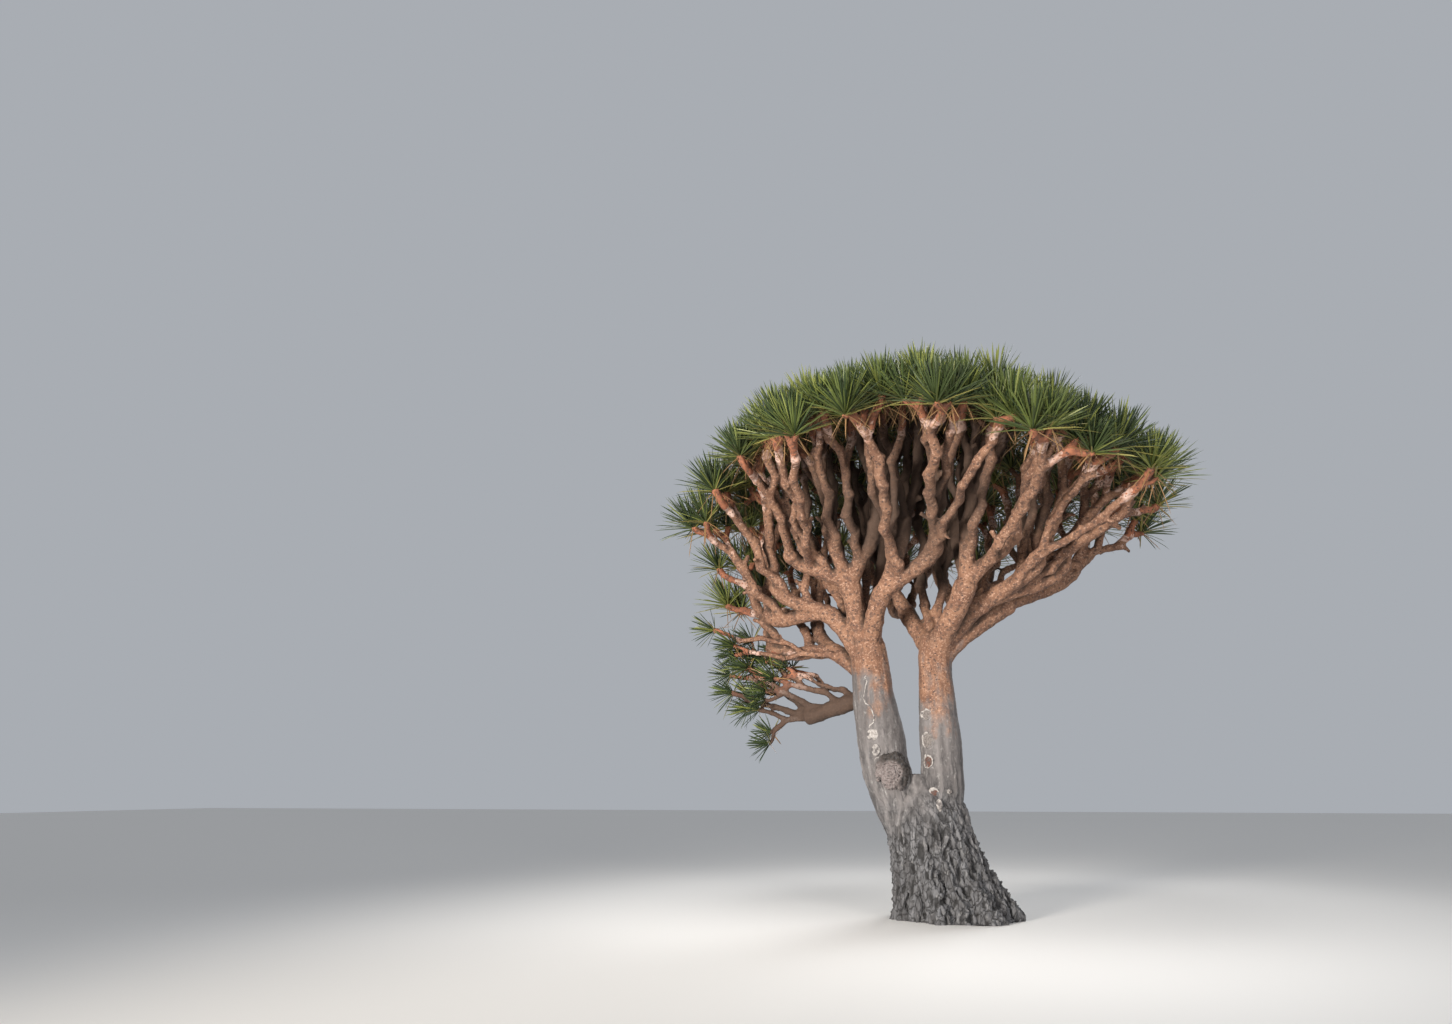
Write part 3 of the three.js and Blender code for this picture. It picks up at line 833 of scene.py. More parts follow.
# %% [markdown]
# The knot low on the left stem is a healed wound, where a bough was lost: a thick roll of bark round a
# sunken middle full of curls. The roll is a wreath of lumps, the fattest at its upper right, where the bark
# closed over most. The middle is a flattened ball. All are set down flat, welded and displaced: by lumps on
# the roll, and inside it by a wood texture that is so turbulent that its rings break up. Last the knot is
# bent to the roundness of the stem and pressed on, facing outwards.

# %% The knot
KNOT_AT = Vector((-0.535, -0.240, 1.250))
KNOT_FACES = Vector((0.05, -1, 0.04)).normalized()
KNOT_ROLL = {"lumps": 19, "at": 0.128, "radius": 0.036, "fatter": 0.95, "fattest_at": 40, "rises": 0.006}
LUMP_SIZES, LUMP_PLACES = (0.85, 1.15), (0.92, 1.08)  # how uneven the lumps are
KNOT_HEART = (0.128, 0.120, 0.040)  # half its width, height and depth
KNOT_HEART_SUNK = 0.012
KNOT_HEART_FADES = (0.085, 0.115)  # the distances from the middle between which the roll takes over
ROLL_BARK_FROM = (0.090, 0.118)  # and those between which the roll's bark does
ROLL_BARK_ROUND = (-0.75, 0.35)  # it fades out where the roll is thinnest
KNOT_VOXEL = 0.0055
KNOT_ROUND = 0.24  # the radius to which it is bent, so that it follows the stem
KNOT_OFF_AXIS = 0.030  # how far right of the stem's middle line it sits


def ball(radius, at, stretch=(1, 1, 1)):
    bpy.ops.mesh.primitive_uv_sphere_add(
        segments=20, ring_count=12, radius=radius, location=at, scale=stretch
    )
    settle(bpy.context.object)
    return bpy.context.object


def knot_lump(number, draw):
    angle = 2 * math.pi * number / KNOT_ROLL["lumps"]
    facing = math.cos(angle - math.radians(KNOT_ROLL["fattest_at"]))
    fatter = 1 + KNOT_ROLL["fatter"] * 0.5 * facing
    radius = KNOT_ROLL["radius"] * fatter * between(draw, *LUMP_SIZES)
    out = KNOT_ROLL["at"] * between(draw, *LUMP_PLACES)
    return ball(radius, (out * math.cos(angle), out * math.sin(angle), KNOT_ROLL["rises"] * facing))


def bend_round(piece, radius, off_axis=0):
    """Bends both sides of a flat piece back, so that it follows an upright stem."""
    for vertex in piece.data.vertices:
        vertex.co.z -= (vertex.co.x + off_axis) ** 2 / (2 * radius)


def press_on(piece, place, facing):
    piece.rotation_euler = facing.to_track_quat("Z", "Y").to_euler()
    piece.location = place
    settle(piece)


def model_knot():
    draw = seeded(19)
    wreath = [knot_lump(number, draw) for number in range(KNOT_ROLL["lumps"])]
    heart = ball(1, (0, 0, -KNOT_HEART_SUNK), KNOT_HEART)
    knot = weld("knot", wreath + [heart], KNOT_VOXEL, 2)
    x, y, _ = points_of(knot).T
    across = np.hypot(x, y)
    weigh(knot, "roll", smooth_step(across, *KNOT_HEART_FADES))
    weigh(knot, "heart", 1 - smooth_step(across, *KNOT_HEART_FADES))
    facing = np.cos(np.arctan2(y, x) - math.radians(KNOT_ROLL["fattest_at"]))
    rolled = smooth_step(across, *ROLL_BARK_FROM) * smooth_step(facing, *ROLL_BARK_ROUND)
    keep_attribute(knot, "rolled", rolled)
    wrinkles = texture("wrinkles", "CLOUDS", 0.040, noise_depth=3)
    rings = texture("rings", "WOOD", 0.40, wood_type="RINGNOISE", turbulence=9)
    healed = texture("healed", "CLOUDS", 0.032, noise_depth=3)
    add_relief(knot, [
        (wrinkles, 0.046, (1, 1, 1), "roll"),
        (rings, 0.012, (0.085, 0.070, 0.085), "heart"),
        (healed, 0.010, (1, 1, 1), "heart"),
        (grain, 0.012),
    ])
    bend_round(knot, KNOT_ROUND, KNOT_OFF_AXIS)
    press_on(knot, KNOT_AT, KNOT_FACES)
    return knot


knot = model_knot()

# %% [markdown]
# Pale scars mark the stems, where small boughs broke off long ago. Five run down the front of the right
# stem. Each has a raised pale rim, and most have a heart, grey or red with dried resin. Beside them sits a
# small grey one. On the left stem the bark peels in three pale patches below a wavy crack. A scar is a disc
# pressed out of the stem: its outline is drawn long or wide, it is extruded, its face is inset and pushed
# in for the heart, and it is bent to the roundness of the stem. A ray from the front finds its place on the
# stem and the direction that it faces there.

# %% The scars
SCARS = [  # place across and height, width and height, width of the rim, depth of the heart and its look
    (-0.192, 1.774, 0.108, 0.115, 0.011, 0.006, "grey"),
    (-0.192, 1.540, 0.130, 0.160, 0.009, 0.005, "grey"),
    (-0.202, 1.352, 0.130, 0.130, 0.014, 0.007, "resin"),
    (-0.163, 1.065, 0.115, 0.110, 0.014, 0.005, "resin"),
    (-0.118, 0.965, 0.058, 0.115, 0.010, 0.003, ""),
    (-0.689, 1.589, 0.110, 0.110, 0.022, -0.002, ""),
    (-0.662, 1.450, 0.080, 0.110, 0.018, -0.002, ""),
    (-0.640, 1.372, 0.066, 0.040, 0.010, -0.002, ""),
    (-0.025, 1.085, 0.050, 0.045, 0.010, 0.010, "grey"),
]
SCAR_CORNERS = 16
SCAR_RAGGED = 0.13  # how far the corners of a scar's outline stray, as a share of its size
SCAR_ROUND = 0.20  # the radius to which a scar is bent, so that it follows the stem
SCAR_THICK = 0.014
SCAR_STANDS_OUT = 0.004
SCAR_SUNK = 0.006
SCAR_FOLLOWS = 0.3  # how much of the stem's slope up or down a scar follows
HEART_STRAYS = (0.007, -0.006)  # the heart lies off the middle, so the rim is uneven
HEART_BEGINS = 1.1  # rims inwards from the outline
HEART_BLURS = (-0.12, 0.04)  # its look fades out from inside to outside of that edge
RAYS_START = -2  # Y of the rays' start, well in front of the stems


def from_the_front(across, height):
    """Where a ray from the front meets the stems or the foot, whichever comes first, and its normal."""
    start, ahead = Vector((across, RAYS_START, height)), Vector((0, 1, 0))
    hits = [body.ray_cast(start, ahead) for body in (stems, foot)]
    _, place, normal, _ = min((hit for hit in hits if hit[0]), key=lambda hit: hit[1].y)
    return place, normal


def inset(wide, rise):
    bpy.ops.mesh.inset(thickness=wide, depth=rise, use_even_offset=False)


def scar_disc(number, wide, tall, rim, depth):
    """A raised disc with a ragged outline, a rim and a sunken heart, still lying flat."""
    bpy.ops.mesh.primitive_circle_add(vertices=SCAR_CORNERS, radius=0.5, fill_type="NGON")
    disc = bpy.context.object
    bpy.ops.object.mode_set(mode="EDIT")
    bpy.ops.transform.resize(value=(wide, tall, 1))
    bpy.ops.transform.vertex_random(offset=SCAR_RAGGED * min(wide, tall), seed=number)
    bpy.ops.transform.resize(value=(1, 1, 0))
    bpy.ops.mesh.extrude_region_move(TRANSFORM_OT_translate={"value": (0, 0, SCAR_THICK)})
    inset(rim * 0.3, SCAR_STANDS_OUT)
    inset(rim * 0.7, 0)
    bpy.ops.transform.translate(value=(*HEART_STRAYS, 0))
    inset(rim * 0.4, -depth)
    inset(rim * 0.5, 0.002)
    bpy.ops.object.mode_set(mode="OBJECT")
    apply_modifier(disc, "SUBSURF", levels=2)
    return disc


def mark_heart(scar, wide, tall, rim, look):
    """Two attributes that say where a scar is grey and where it is red with resin."""
    x, y, _ = points_of(scar).T
    out = np.hypot(2 * (x - HEART_STRAYS[0]) / wide, 2 * (y - HEART_STRAYS[1]) / tall)
    edge = 1 - 2 * HEART_BEGINS * rim / min(wide, tall)
    inside = 1 - smooth_step(out, *(edge + blur for blur in HEART_BLURS))
    for kind in ("grey", "resin"):
        keep_attribute(scar, kind, inside * (kind == look))


def model_scar(number, across, height, wide, tall, rim, depth, look):
    scar = scar_disc(number, wide, tall, rim, depth)
    mark_heart(scar, wide, tall, rim, look)
    bend_round(scar, SCAR_ROUND)
    place, normal = from_the_front(across, height)
    level = Vector((normal.x, normal.y, 0)).normalized()
    facing = (level + Vector((0, 0, SCAR_FOLLOWS * normal.z))).normalized()
    press_on(scar, place - facing * SCAR_SUNK, facing)
    displace(scar, wrinkled, 0.006)
    return scar


wrinkled = texture("wrinkled", "CLOUDS", 0.030, noise_depth=3)
scar_parts = [model_scar(number, *scar) for number, scar in enumerate(SCARS)]
print("made", len(scar_parts), "scars")

# %% The crack
CRACK = [  # place across and height, and radius
    (-0.730, 2.140, 0.004), (-0.742, 2.119, 0.009), (-0.721, 2.096, 0.006), (-0.733, 2.065, 0.008),
    (-0.748, 1.990, 0.002), (-0.763, 1.927, 0.008), (-0.760, 1.900, 0.010), (-0.733, 1.870, 0.007),
    (-0.698, 1.852, 0.009), (-0.684, 1.820, 0.006), (-0.678, 1.776, 0.009), (-0.664, 1.735, 0.007),
    (-0.680, 1.696, 0.010), (-0.707, 1.675, 0.009), (-0.720, 1.650, 0.006),
]

crack_places = [from_the_front(across, height)[0] for across, height, _ in CRACK]
crack = limb_along(draw_route(crack_places, [radius for _, _, radius in CRACK]))
scars = join("scars", scar_parts + [crack])
print("the scars and the crack have", len(scars.data.polygons), "faces")

# %% [markdown]
# The fork rule, the heart of the tree. A twig steps towards the middle of the ends that it feeds. Those are
# then split in two halves across the direction in which they are spread most, and each half gets a twig of
# its own that starts a little inside the fork, splayed apart. The rule is applied again until one end is
# left. Here it goes further than in the plain model. Two side limbs leave each upper bough early, for the
# outermost ends, and some leave the main bough already. Long twigs have knees on the way, where side shoots
# died. Most last twigs fork once more into two short shoots close together, and some forks keep the stub of
# a dead one.

# %% The numbers of the fork rule
# How much a twig narrows, keeps its heading and splays, and how deep it starts inside a fork or a bough
TWIG = {"taper": 0.12, "bend": 0.5, "splay": 0.35, "sunk": 0.6, "starts": 0.03}
# About how far apart knees are, how far they stray, and the share of long twigs that have them
KNEES = {"every": 0.26, "stray": 0.28, "share": 0.7}
WOBBLES = (-0.039, 0.091)  # how far a twig's handles stray sideways, as shares of its length
SIDE_LIMBS = {"leave": (0.25, 0.55), "ends": 2, "splay": 0.55}
EARLY_LIMBS = {  # the share of its main bough at which the first side limb of an upper bough leaves already
    "rear_right_top": 0.12, "rear_top": 0.22, "rear_mid_top": 0.25, "rear_left_high": 0.35,
    "left_rear": 0.40,
}
LAST_TWIG = {"radius": (0.98, 1.18), "keeps": 0.85}
SHOOTS = {
    "share": 0.85, "apart": (0.060, 0.095), "fork": (0.45, 0.7), "radius": 0.80,
    "higher": (-0.06, 0.04), "leans": 0.3, "splay": 0.8, "sunk": 0.02,
}
SPURS = {"share": 0.40, "length": (0.04, 0.10), "radius": 0.55, "keeps": 0.8, "onward": 0.8}
LEAF_LENGTH = 0.375
UNEVEN_LENGTHS = (0.86, 1.12)  # of the leaves of one rosette and the next, as shares of that
STANDS_UP = 0.9  # how much more upright a rosette stands than its twig
LOW_LIMBS = [  # the bough, the share of its length and the ends of the limb that leaves there
    ("rear_left", 0.45, (4, 12)), ("rear_left", 0.75, (11, 9, 16)), ("low", 0.20, (7, 17)),
    ("low", 0.42, (8, 5)), ("low", 0.60, (2, 14)), ("low", 0.76, (6, 3, 13)), ("low", 0.92, (10, 15)),
    ("low", 1.0, (0, 1)),
]
LOW_LIMBS_RISE = 0.45  # how steeply they leave, so that they stand apart
LOW_LEAF_LENGTH = 0.23
LOW_SLIMNESS = 0.66  # how thick the low fan's limbs are, as a share of what others are with as many ends
LOW_FORKED_SHARE = 0.35  # the share of the low fan's last twigs that fork into two shoots
print(len(EARLY_LIMBS), "side limbs leave a main bough, and", len(LOW_LIMBS), "limbs make the low fan")

# %% Directions in which twigs grow
UPRIGHT_BELOW = 0.05  # a heading with less slant than this counts as upright


def widest_across(points, middle, aim):
    """The direction, square to the aim, along which points are spread most."""
    first = Vector((0, 0, 1)).cross(aim)
    if first.length < UPRIGHT_BELOW:
        first = Vector((1, 0, 0))
    first.normalize()
    second = aim.cross(first).normalized()
    xx = xy = yy = 0
    for point in points:
        x, y = (point - middle).dot(first), (point - middle).dot(second)
        xx, xy, yy = xx + x * x, xy + x * y, yy + y * y
    turn = 0.5 * math.atan2(2 * xy, xx - yy)
    return first * math.cos(turn) + second * math.sin(turn)


def in_order(tips, middle, aim):
    """The direction in which ends are spread most, and the ends in order along it."""
    across = widest_across([tip["at"] for tip in tips], middle, aim)
    return across, sorted(tips, key=lambda tip: tip["at"].dot(across))


def sideways(direction, draw):
    """A random direction square to the one given."""
    loose = Vector([next(draw) - 0.5 for _ in range(3)])
    return (loose - direction * loose.dot(direction)).normalized()


def wobbly(line, draw):
    """A bow whose handles stray to opposite sides, so that the twig bends to and fro on its way."""
    along = line[3] - line[0]
    stray = sideways(along.normalized(), draw) * (along.length * between(draw, *WOBBLES))
    return [line[0], line[1] + stray, line[2] - stray, line[3]]


print("one direction square to Z is", [round(c, 2) for c in sideways(Vector((0, 0, 1)), seeded(1))])

# %% [markdown]
# Each mass of foliage grows by itself and from a seed of its own, so that a change to one leaves the others
# as they are. Nothing is modelled yet. A twig is kept as a bow with two radii, and a rosette as a place, an
# axis and the length of its leaves.

# %% The growth of one mass of foliage


class Growth:
    """The twigs and rosettes that one mass of foliage is made of."""

    def __init__(self, seed, slimness, leaf_length, stands_up, forked_share):
        self.draw = seeded(seed)
        self.slimness = slimness
        self.leaf_length = leaf_length
        self.stands_up = stands_up
        self.forked_share = forked_share
        self.twigs = []  # bow, radii at both ends, and the way left from its end to the nearest rosette
        self.rosettes = []  # place, axis, length of the leaves, and whether it grows in the shade

    def radius(self, ends):
        return self.slimness * limb_radius(ends)

    def add(self, line, radius_from, radius_to, left):
        self.twigs.append((wobbly(line, self.draw), radius_from, radius_to, left))
        return left + (line[3] - line[0]).length

    def grow(self, start, heading, tips):
        """Twigs from a start to all their tips. Hands back the way to the nearest rosette."""
        middle = middle_of_ends(tips)
        needed = math.ceil(math.log2(len(tips))) + 1
        steps = max(needed, round((middle - start).length / KNEES["every"]))
        if steps > needed and (len(tips) == 1 or next(self.draw) < KNEES["share"]):
            return self.knee(start, heading, tips, steps)
        if len(tips) == 1:
            return self.end_twig(start, heading, tips[0])
        aim = (middle - start).normalized()
        arriving = (aim + heading * TWIG["bend"]).normalized()
        fork = start + arriving * ((middle - start).length / steps)
        thick = self.radius(len(tips))
        across, ordered = in_order(tips, middle, aim)
        half = math.ceil(len(tips) / 2)
        root = fork - arriving * (TWIG["sunk"] * thick)
        ways = []
        for part, side in ((ordered[:half], -1), (ordered[half:], 1)):
            towards = (middle_of_ends(part) - fork).normalized()
            ways.append(self.grow(root, (towards + across * (TWIG["splay"] * side)).normalized(), part))
        self.spur(fork, arriving, thick)
        return self.add(bow(start, heading, fork, arriving), thick, thick * (1 - TWIG["taper"]), min(ways))

    def knee(self, start, heading, tips, steps):
        """One step without a fork, a little off the straight way, and then on as before."""
        aim = middle_of_ends(tips) - start
        stray = sideways(aim.normalized(), self.draw)
        arriving = (aim.normalized() + heading * TWIG["bend"] + stray * KNEES["stray"]).normalized()
        bend = start + arriving * (aim.length / steps)
        thick = self.radius(len(tips))
        onward = (aim.normalized() - stray * (2 * KNEES["stray"])).normalized()
        way = self.grow(bend - arriving * (TWIG["sunk"] * thick), onward, tips)
        self.spur(bend, arriving, thick)
        return self.add(bow(start, heading, bend, arriving), thick, thick, way)

    def rosette(self, at, axis):
        axis = (axis + Vector((0, 0, self.stands_up))).normalized()
        length = self.leaf_length * between(self.draw, *UNEVEN_LENGTHS)
        self.rosettes.append((at, axis, length, self.stands_up == 0))
        return axis

    def end_twig(self, start, heading, tip):
        """The last twig, which ends in one rosette or forks into two shoots with one each."""
        thick = self.radius(1) * between(self.draw, *LAST_TWIG["radius"])
        if next(self.draw) > self.forked_share:
            axis = self.rosette(tip["at"], tip["axis"])
            return self.add(bow(start, heading, tip["at"], axis), thick, LAST_TWIG["keeps"] * thick, 0)
        fork = start.lerp(tip["at"], between(self.draw, *SHOOTS["fork"]))
        arriving = ((tip["at"] - start).normalized() + heading).normalized()
        across = sideways(tip["axis"], self.draw)
        thin = thick * SHOOTS["radius"]
        for side in (-1, 1):
            apart = side * between(self.draw, *SHOOTS["apart"])
            end = tip["at"] + across * apart + tip["axis"] * between(self.draw, *SHOOTS["higher"])
            axis = self.rosette(end, tip["axis"] + across * (SHOOTS["leans"] * side))
            leaving = (arriving + across * (SHOOTS["splay"] * side)).normalized()
            way = self.add(bow(fork - arriving * SHOOTS["sunk"], leaving, end, axis), thin, thin, 0)
        return self.add(bow(start, heading, fork, arriving), thick, thick, way)

    def spur(self, fork, heading, thick):
        """The stub of a dead shoot, at some of the forks."""
        if next(self.draw) > SPURS["share"]:
            return
        out = (sideways(heading, self.draw) + heading * SPURS["onward"]).normalized()
        end = fork + out * (thick + between(self.draw, *SPURS["length"]))
        radius = SPURS["radius"] * min(thick, self.radius(2))
        self.twigs.append((bow(fork, out, end, out), radius, SPURS["keeps"] * radius, 1))

    def side_limb(self, line, share, ends, splay):
        """A limb that leaves a bough at a share of its length, for ends of its own."""
        piece = cut_bow(line, share)
        towards = (middle_of_ends(ends) - piece[3]).normalized()
        self.grow(piece[3], (end_heading(piece) + towards + splay).normalized(), ends)

    def grow_on(self, line, ends, early=None):
        """Everything beyond a bough, and its two side limbs. An early one leaves the main bough already."""
        middle = middle_of_ends(ends)
        across, ordered = in_order(ends, middle, (middle - line[0]).normalized())
        outer = SIDE_LIMBS["ends"]
        first = early or (line, SIDE_LIMBS["leave"][0])
        self.side_limb(*first, ordered[:outer], across * -SIDE_LIMBS["splay"])
        self.side_limb(line, SIDE_LIMBS["leave"][1], ordered[-outer:], across * SIDE_LIMBS["splay"])
        heading = end_heading(line)
        self.grow(line[3] - heading * TWIG["starts"], heading, ordered[outer:-outer])

    def grow_low(self, line, ends):
        """The limbs of the low fan, each from its own place along its bough."""
        lines = {"low": line, **main_lines}
        for bough, share, numbers in LOW_LIMBS:
            rise = Vector((0, 0, LOW_LIMBS_RISE * (share < 1)))
            self.side_limb(lines[bough], share, [ends[number] for number in numbers], rise)


sample = Growth(1, 1, LEAF_LENGTH, STANDS_UP, SHOOTS["share"])
sample.grow(CROWN_HEART, Vector((0, 0, 1)), tips[:8])
print("a sample with 8 ends has", len(sample.twigs), "twigs and", len(sample.rosettes), "rosettes")

# %% Grow all masses
FIRST_SEED = 100

growths = {}
for number, (name, ends) in enumerate(dealt.items()):
    seed, line = FIRST_SEED + number, upper_lines[name]
    if name == "low":
        growths[name] = Growth(seed, LOW_SLIMNESS, LOW_LEAF_LENGTH, 0, LOW_FORKED_SHARE)
        growths[name].grow_low(line, ends)
    else:
        growths[name] = Growth(seed, 1, LEAF_LENGTH, STANDS_UP, SHOOTS["share"])
        early = (main_lines[UPPER_BOUGHS[name][0]], EARLY_LIMBS[name]) if name in EARLY_LIMBS else None
        growths[name].grow_on(line, ends, early)
print(sum(len(growth.twigs) for growth in growths.values()), "twigs and",
      sum(len(growth.rosettes) for growth in growths.values()), "rosettes")

# %% [markdown]
# So many twigs are best made as one mesh from arrays. Each twig's route is worked out at eleven places, a
# ring of points is set round each, and neighbouring rings are joined by faces. The directions in which a
# ring is drawn are carried along the route, so that no twig is twisted.

# %% Tubes from arrays
TUBE_PLACES = [0, 0.015, 0.05, 0.2, 0.35, 0.5, 0.65, 0.8, 0.95, 0.985, 1]
TUBE_SIDES = 12
TWIG_SWELLING = 0.22  # twigs have deeper waists than boughs
SMOOTHING_LOSS = 0.0025  # what smoothing will take off a limb's radius later
ASKEW = [0.31, 0.87, 0.38]  # a direction along which no twig runs


def along_bows(lines, places):
    """Points on Bezier bows: for each bow, as many as there are places from 0 to 1."""
    corners = np.array([[tuple(point) for point in line] for line in lines])
    t = places[None, :, None]
    weights = [(1 - t) ** 3, 3 * t * (1 - t) ** 2, 3 * t**2 * (1 - t), t**3]
    return sum(weight * corners[:, None, i] for i, weight in enumerate(weights))


def unit(vectors):
    return vectors / np.maximum(np.linalg.norm(vectors, axis=-1, keepdims=True), 1e-9)


def mesh_from_arrays(name, points, faces):
    mesh = bpy.data.meshes.new(name)
    mesh.from_pydata(points.reshape(-1, 3).tolist(), [], faces)
    piece = bpy.data.objects.new(name, mesh)
    bpy.context.collection.objects.link(piece)
    return piece


def tubes(name, routes, radii):
    count, places = routes.shape[:2]
    tangents = unit(np.gradient(routes, axis=1))
    side = unit(np.cross(tangents[:, 0], ASKEW))
    turns = np.arange(TUBE_SIDES) * 2 * math.pi / TUBE_SIDES
    rings = []
    for i in range(places):
        side = unit(side - (side * tangents[:, i]).sum(-1, keepdims=True) * tangents[:, i])
        other = np.cross(tangents[:, i], side)
        ring = np.cos(turns)[None, :, None] * side[:, None] + np.sin(turns)[None, :, None] * other[:, None]
        rings.append(routes[:, i, None] + ring * radii[:, i, None, None])
    points = np.stack(rings, axis=1)
    first = np.arange(count)[:, None, None] * places * TUBE_SIDES
    below = first + np.arange(places - 1)[None, :, None] * TUBE_SIDES
    above = below + TUBE_SIDES
    a = np.arange(TUBE_SIDES)[None, None, :]
    b = (a + 1) % TUBE_SIDES
    walls = np.stack([below + a, below + b, above + b, above + a], axis=-1).reshape(-1, 4)
    starts = first[:, 0] + a[0, :, ::-1]
    ends = first[:, 0] + (places - 1) * TUBE_SIDES + a[0]
    return mesh_from_arrays(name, points, walls.tolist() + starts.tolist() + ends.tolist())


def twig_tubes(name, twigs):
    places = np.array(TUBE_PLACES)
    routes = along_bows([twig[0] for twig in twigs], places)
    ends = np.array([twig[1:3] for twig in twigs])
    radii = ends[:, :1] + (ends[:, 1:] - ends[:, :1]) * places
    profile = limb_profile(places, TWIG_SWELLING) * (1 + TWIG_SWELLING / 2)
    return tubes(name, routes, radii * profile + SMOOTHING_LOSS)


# %% [markdown]
# The boughs and twigs of the whole crown would make one very heavy mesh, so they are made as five pieces,
# each with a few main boughs and all that grows on them. In each piece the boughs are copies of the master
# limb, the twigs come from the arrays, and then all is welded, rounded and given its relief, as the trunk
# was.

# %% Boughs and twigs, welded
BOUGH_VOXEL = 0.0142
BOUGH_WIDER = 1.07  # makes up for the waist of the master limb
GROUPS = {
    "left": ["left", "front_left"],
    "rear_left": ["rear_left", "rear_mid", "low"],
    "front": ["front_mid", "front_right"],
    "right": ["right", "far_right"],
    "rear_right": ["rear_right", "rear"],
}


def uppers_of(group):
    names = [name for name, bough in UPPER_BOUGHS.items() if bough[0] in GROUPS[group]]
    return names + [name for name in GROUPS[group] if name == "low"]


def twigs_of(group):
    return [twig for name in uppers_of(group) for twig in growths[name].twigs]


def boughs_of(group):
    """The group's boughs, each as its line and its radii at both ends."""
    limbs = []
    for name in GROUPS[group]:
        if name in main_lines:
            carried = tips_carried(name)
            limbs.append((main_lines[name], limb_radius(carried), limb_radius(carried * FORK_SHARE)))
    for name in uppers_of(group):
        from_ends, to_ends = LOW_BOUGH["carries"] if name == "low" else 2 * [len(dealt[name])]
        limbs.append((upper_lines[name], limb_radius(from_ends), limb_radius(to_ends)))
    return limbs


def weld_group(group):
    limbs = [
        limb_on_bow(line, start + SMOOTHING_LOSS, BOUGH_WIDER * end + SMOOTHING_LOSS)
        for line, start, end in boughs_of(group)
    ]
    wood = weld("boughs_" + group, limbs + [twig_tubes("twigs", twigs_of(group))], BOUGH_VOXEL, 6)
    displace(wood, knuckles, 0.022)
    add_relief(wood, [(flakes, 0.006), (grain, 0.006)])
    return wood


boughs = {group: weld_group(group) for group in GROUPS}

# %% [markdown]
# A rosette is a ball of eighty-four stiff leaves on the end of a shoot. The golden angle deals them out
# round the shoot. The youngest stand upright in the middle, the oldest lie almost level, and four dead ones
# hang under them. All leaves of one part of the crown are worked out at once, as arrays. Their middle lines
# come first: in the arrays, one axis counts the rosettes, the next the leaves and the third the places
# along a leaf.

# %% The middle lines of the leaves
LEAVES_EACH = 84
DRY_EACH = 4
LEAF_WIDTH = 0.0150
LEAF_PLACES = np.array([0.0, 0.34, 0.80, 1.0])
LOWEST, HIGHEST = 10, 86  # how steeply the oldest and the youngest leaf stand, in degrees
DRY_HANG = (-60, -27)  # and the dead ones
AGEING = 1.15  # the higher it is, the more leaves are still steep
STEEPNESS = (-70, 87)  # no leaf goes beyond these
STRAY_ROUND, STRAY_UP = 0.09, 3.5  # how uneven that is, in radians round the shoot and degrees upwards
DRY_SIZE = 0.7  # what a dead leaf keeps of its length and width
YOUNG_LENGTH, GROWN_AT = 0.66, 0.18  # the length of the youngest leaves, and the age at which all are long
UNEVEN_LEAVES, UNEVEN_WIDTHS, UNEVEN_SAGS = (0.86, 1.03), (0.8, 1.15), (0.4, 1.6)
SEAT_HEIGHT, SEAT_FALLS, SEAT_OUT = 0.040, 0.065, 0.022  # where on the shoot the leaves are seated
DROOP = 0.10
ALOOF = [0.2, 0.97, 0.1]  # a direction along which no rosette's axis points


def rosette_frames(rosettes):
    at = np.array([tuple(rosette[0]) for rosette in rosettes])
    axis = unit(np.array([tuple(rosette[1]) for rosette in rosettes]))
    right = unit(np.cross(axis, ALOOF))
    return at, axis, right, np.cross(axis, right)


def leaf_routes(rosettes, random):
    """The middle lines of all leaves, with the side they are spread to, their widths and their ages."""
    at, axis, right, away = rosette_frames(rosettes)
    shape = (len(rosettes), LEAVES_EACH + DRY_EACH)
    number = np.arange(shape[1])
    age = np.tile((number + 0.5) / LEAVES_EACH, (shape[0], 1))
    grown, dry = np.minimum(age, 1), age > 1
    turn = number * GOLDEN_ANGLE + random.uniform(0, 2 * math.pi, (shape[0], 1))
    turn = turn + random.normal(0, STRAY_ROUND, shape)
    steep = HIGHEST + (LOWEST - HIGHEST) * grown**AGEING + random.normal(0, STRAY_UP, shape)
    steep = np.where(dry, random.uniform(*DRY_HANG, shape), steep).clip(*STEEPNESS)
    rise = np.sin(np.radians(steep))
    flat = np.sqrt(1 - rise**2)
    out = np.cos(turn)[..., None] * right[:, None] + np.sin(turn)[..., None] * away[:, None]
    direction = flat[..., None] * out + rise[..., None] * axis[:, None]
    size = np.where(dry, DRY_SIZE, 1)
    length = np.array([rosette[2] for rosette in rosettes])[:, None] * random.uniform(*UNEVEN_LEAVES, shape)
    length = length * (YOUNG_LENGTH + (1 - YOUNG_LENGTH) * np.minimum(age / GROWN_AT, 1)) * size
    seat = (SEAT_HEIGHT - SEAT_FALLS * np.minimum(age, 1.05))[..., None]
    base = at[:, None] + axis[:, None] * seat + out * SEAT_OUT
    sag = DROOP * (0.25 + grown) * flat * length * random.uniform(*UNEVEN_SAGS, shape)
    reach = length[..., None, None] * LEAF_PLACES[None, None, :, None]
    routes = base[:, :, None] + direction[:, :, None] * reach
    routes[..., 2] -= sag[..., None] * LEAF_PLACES[None, None] ** 2
    side = unit(np.cross(direction, axis[:, None] + 0.001 * right[:, None]))
    widths = LEAF_WIDTH * size * random.uniform(*UNEVEN_WIDTHS, shape)
    return routes, side, widths, age


print("a rosette has", LEAVES_EACH, "leaves and", DRY_EACH, "dead ones")

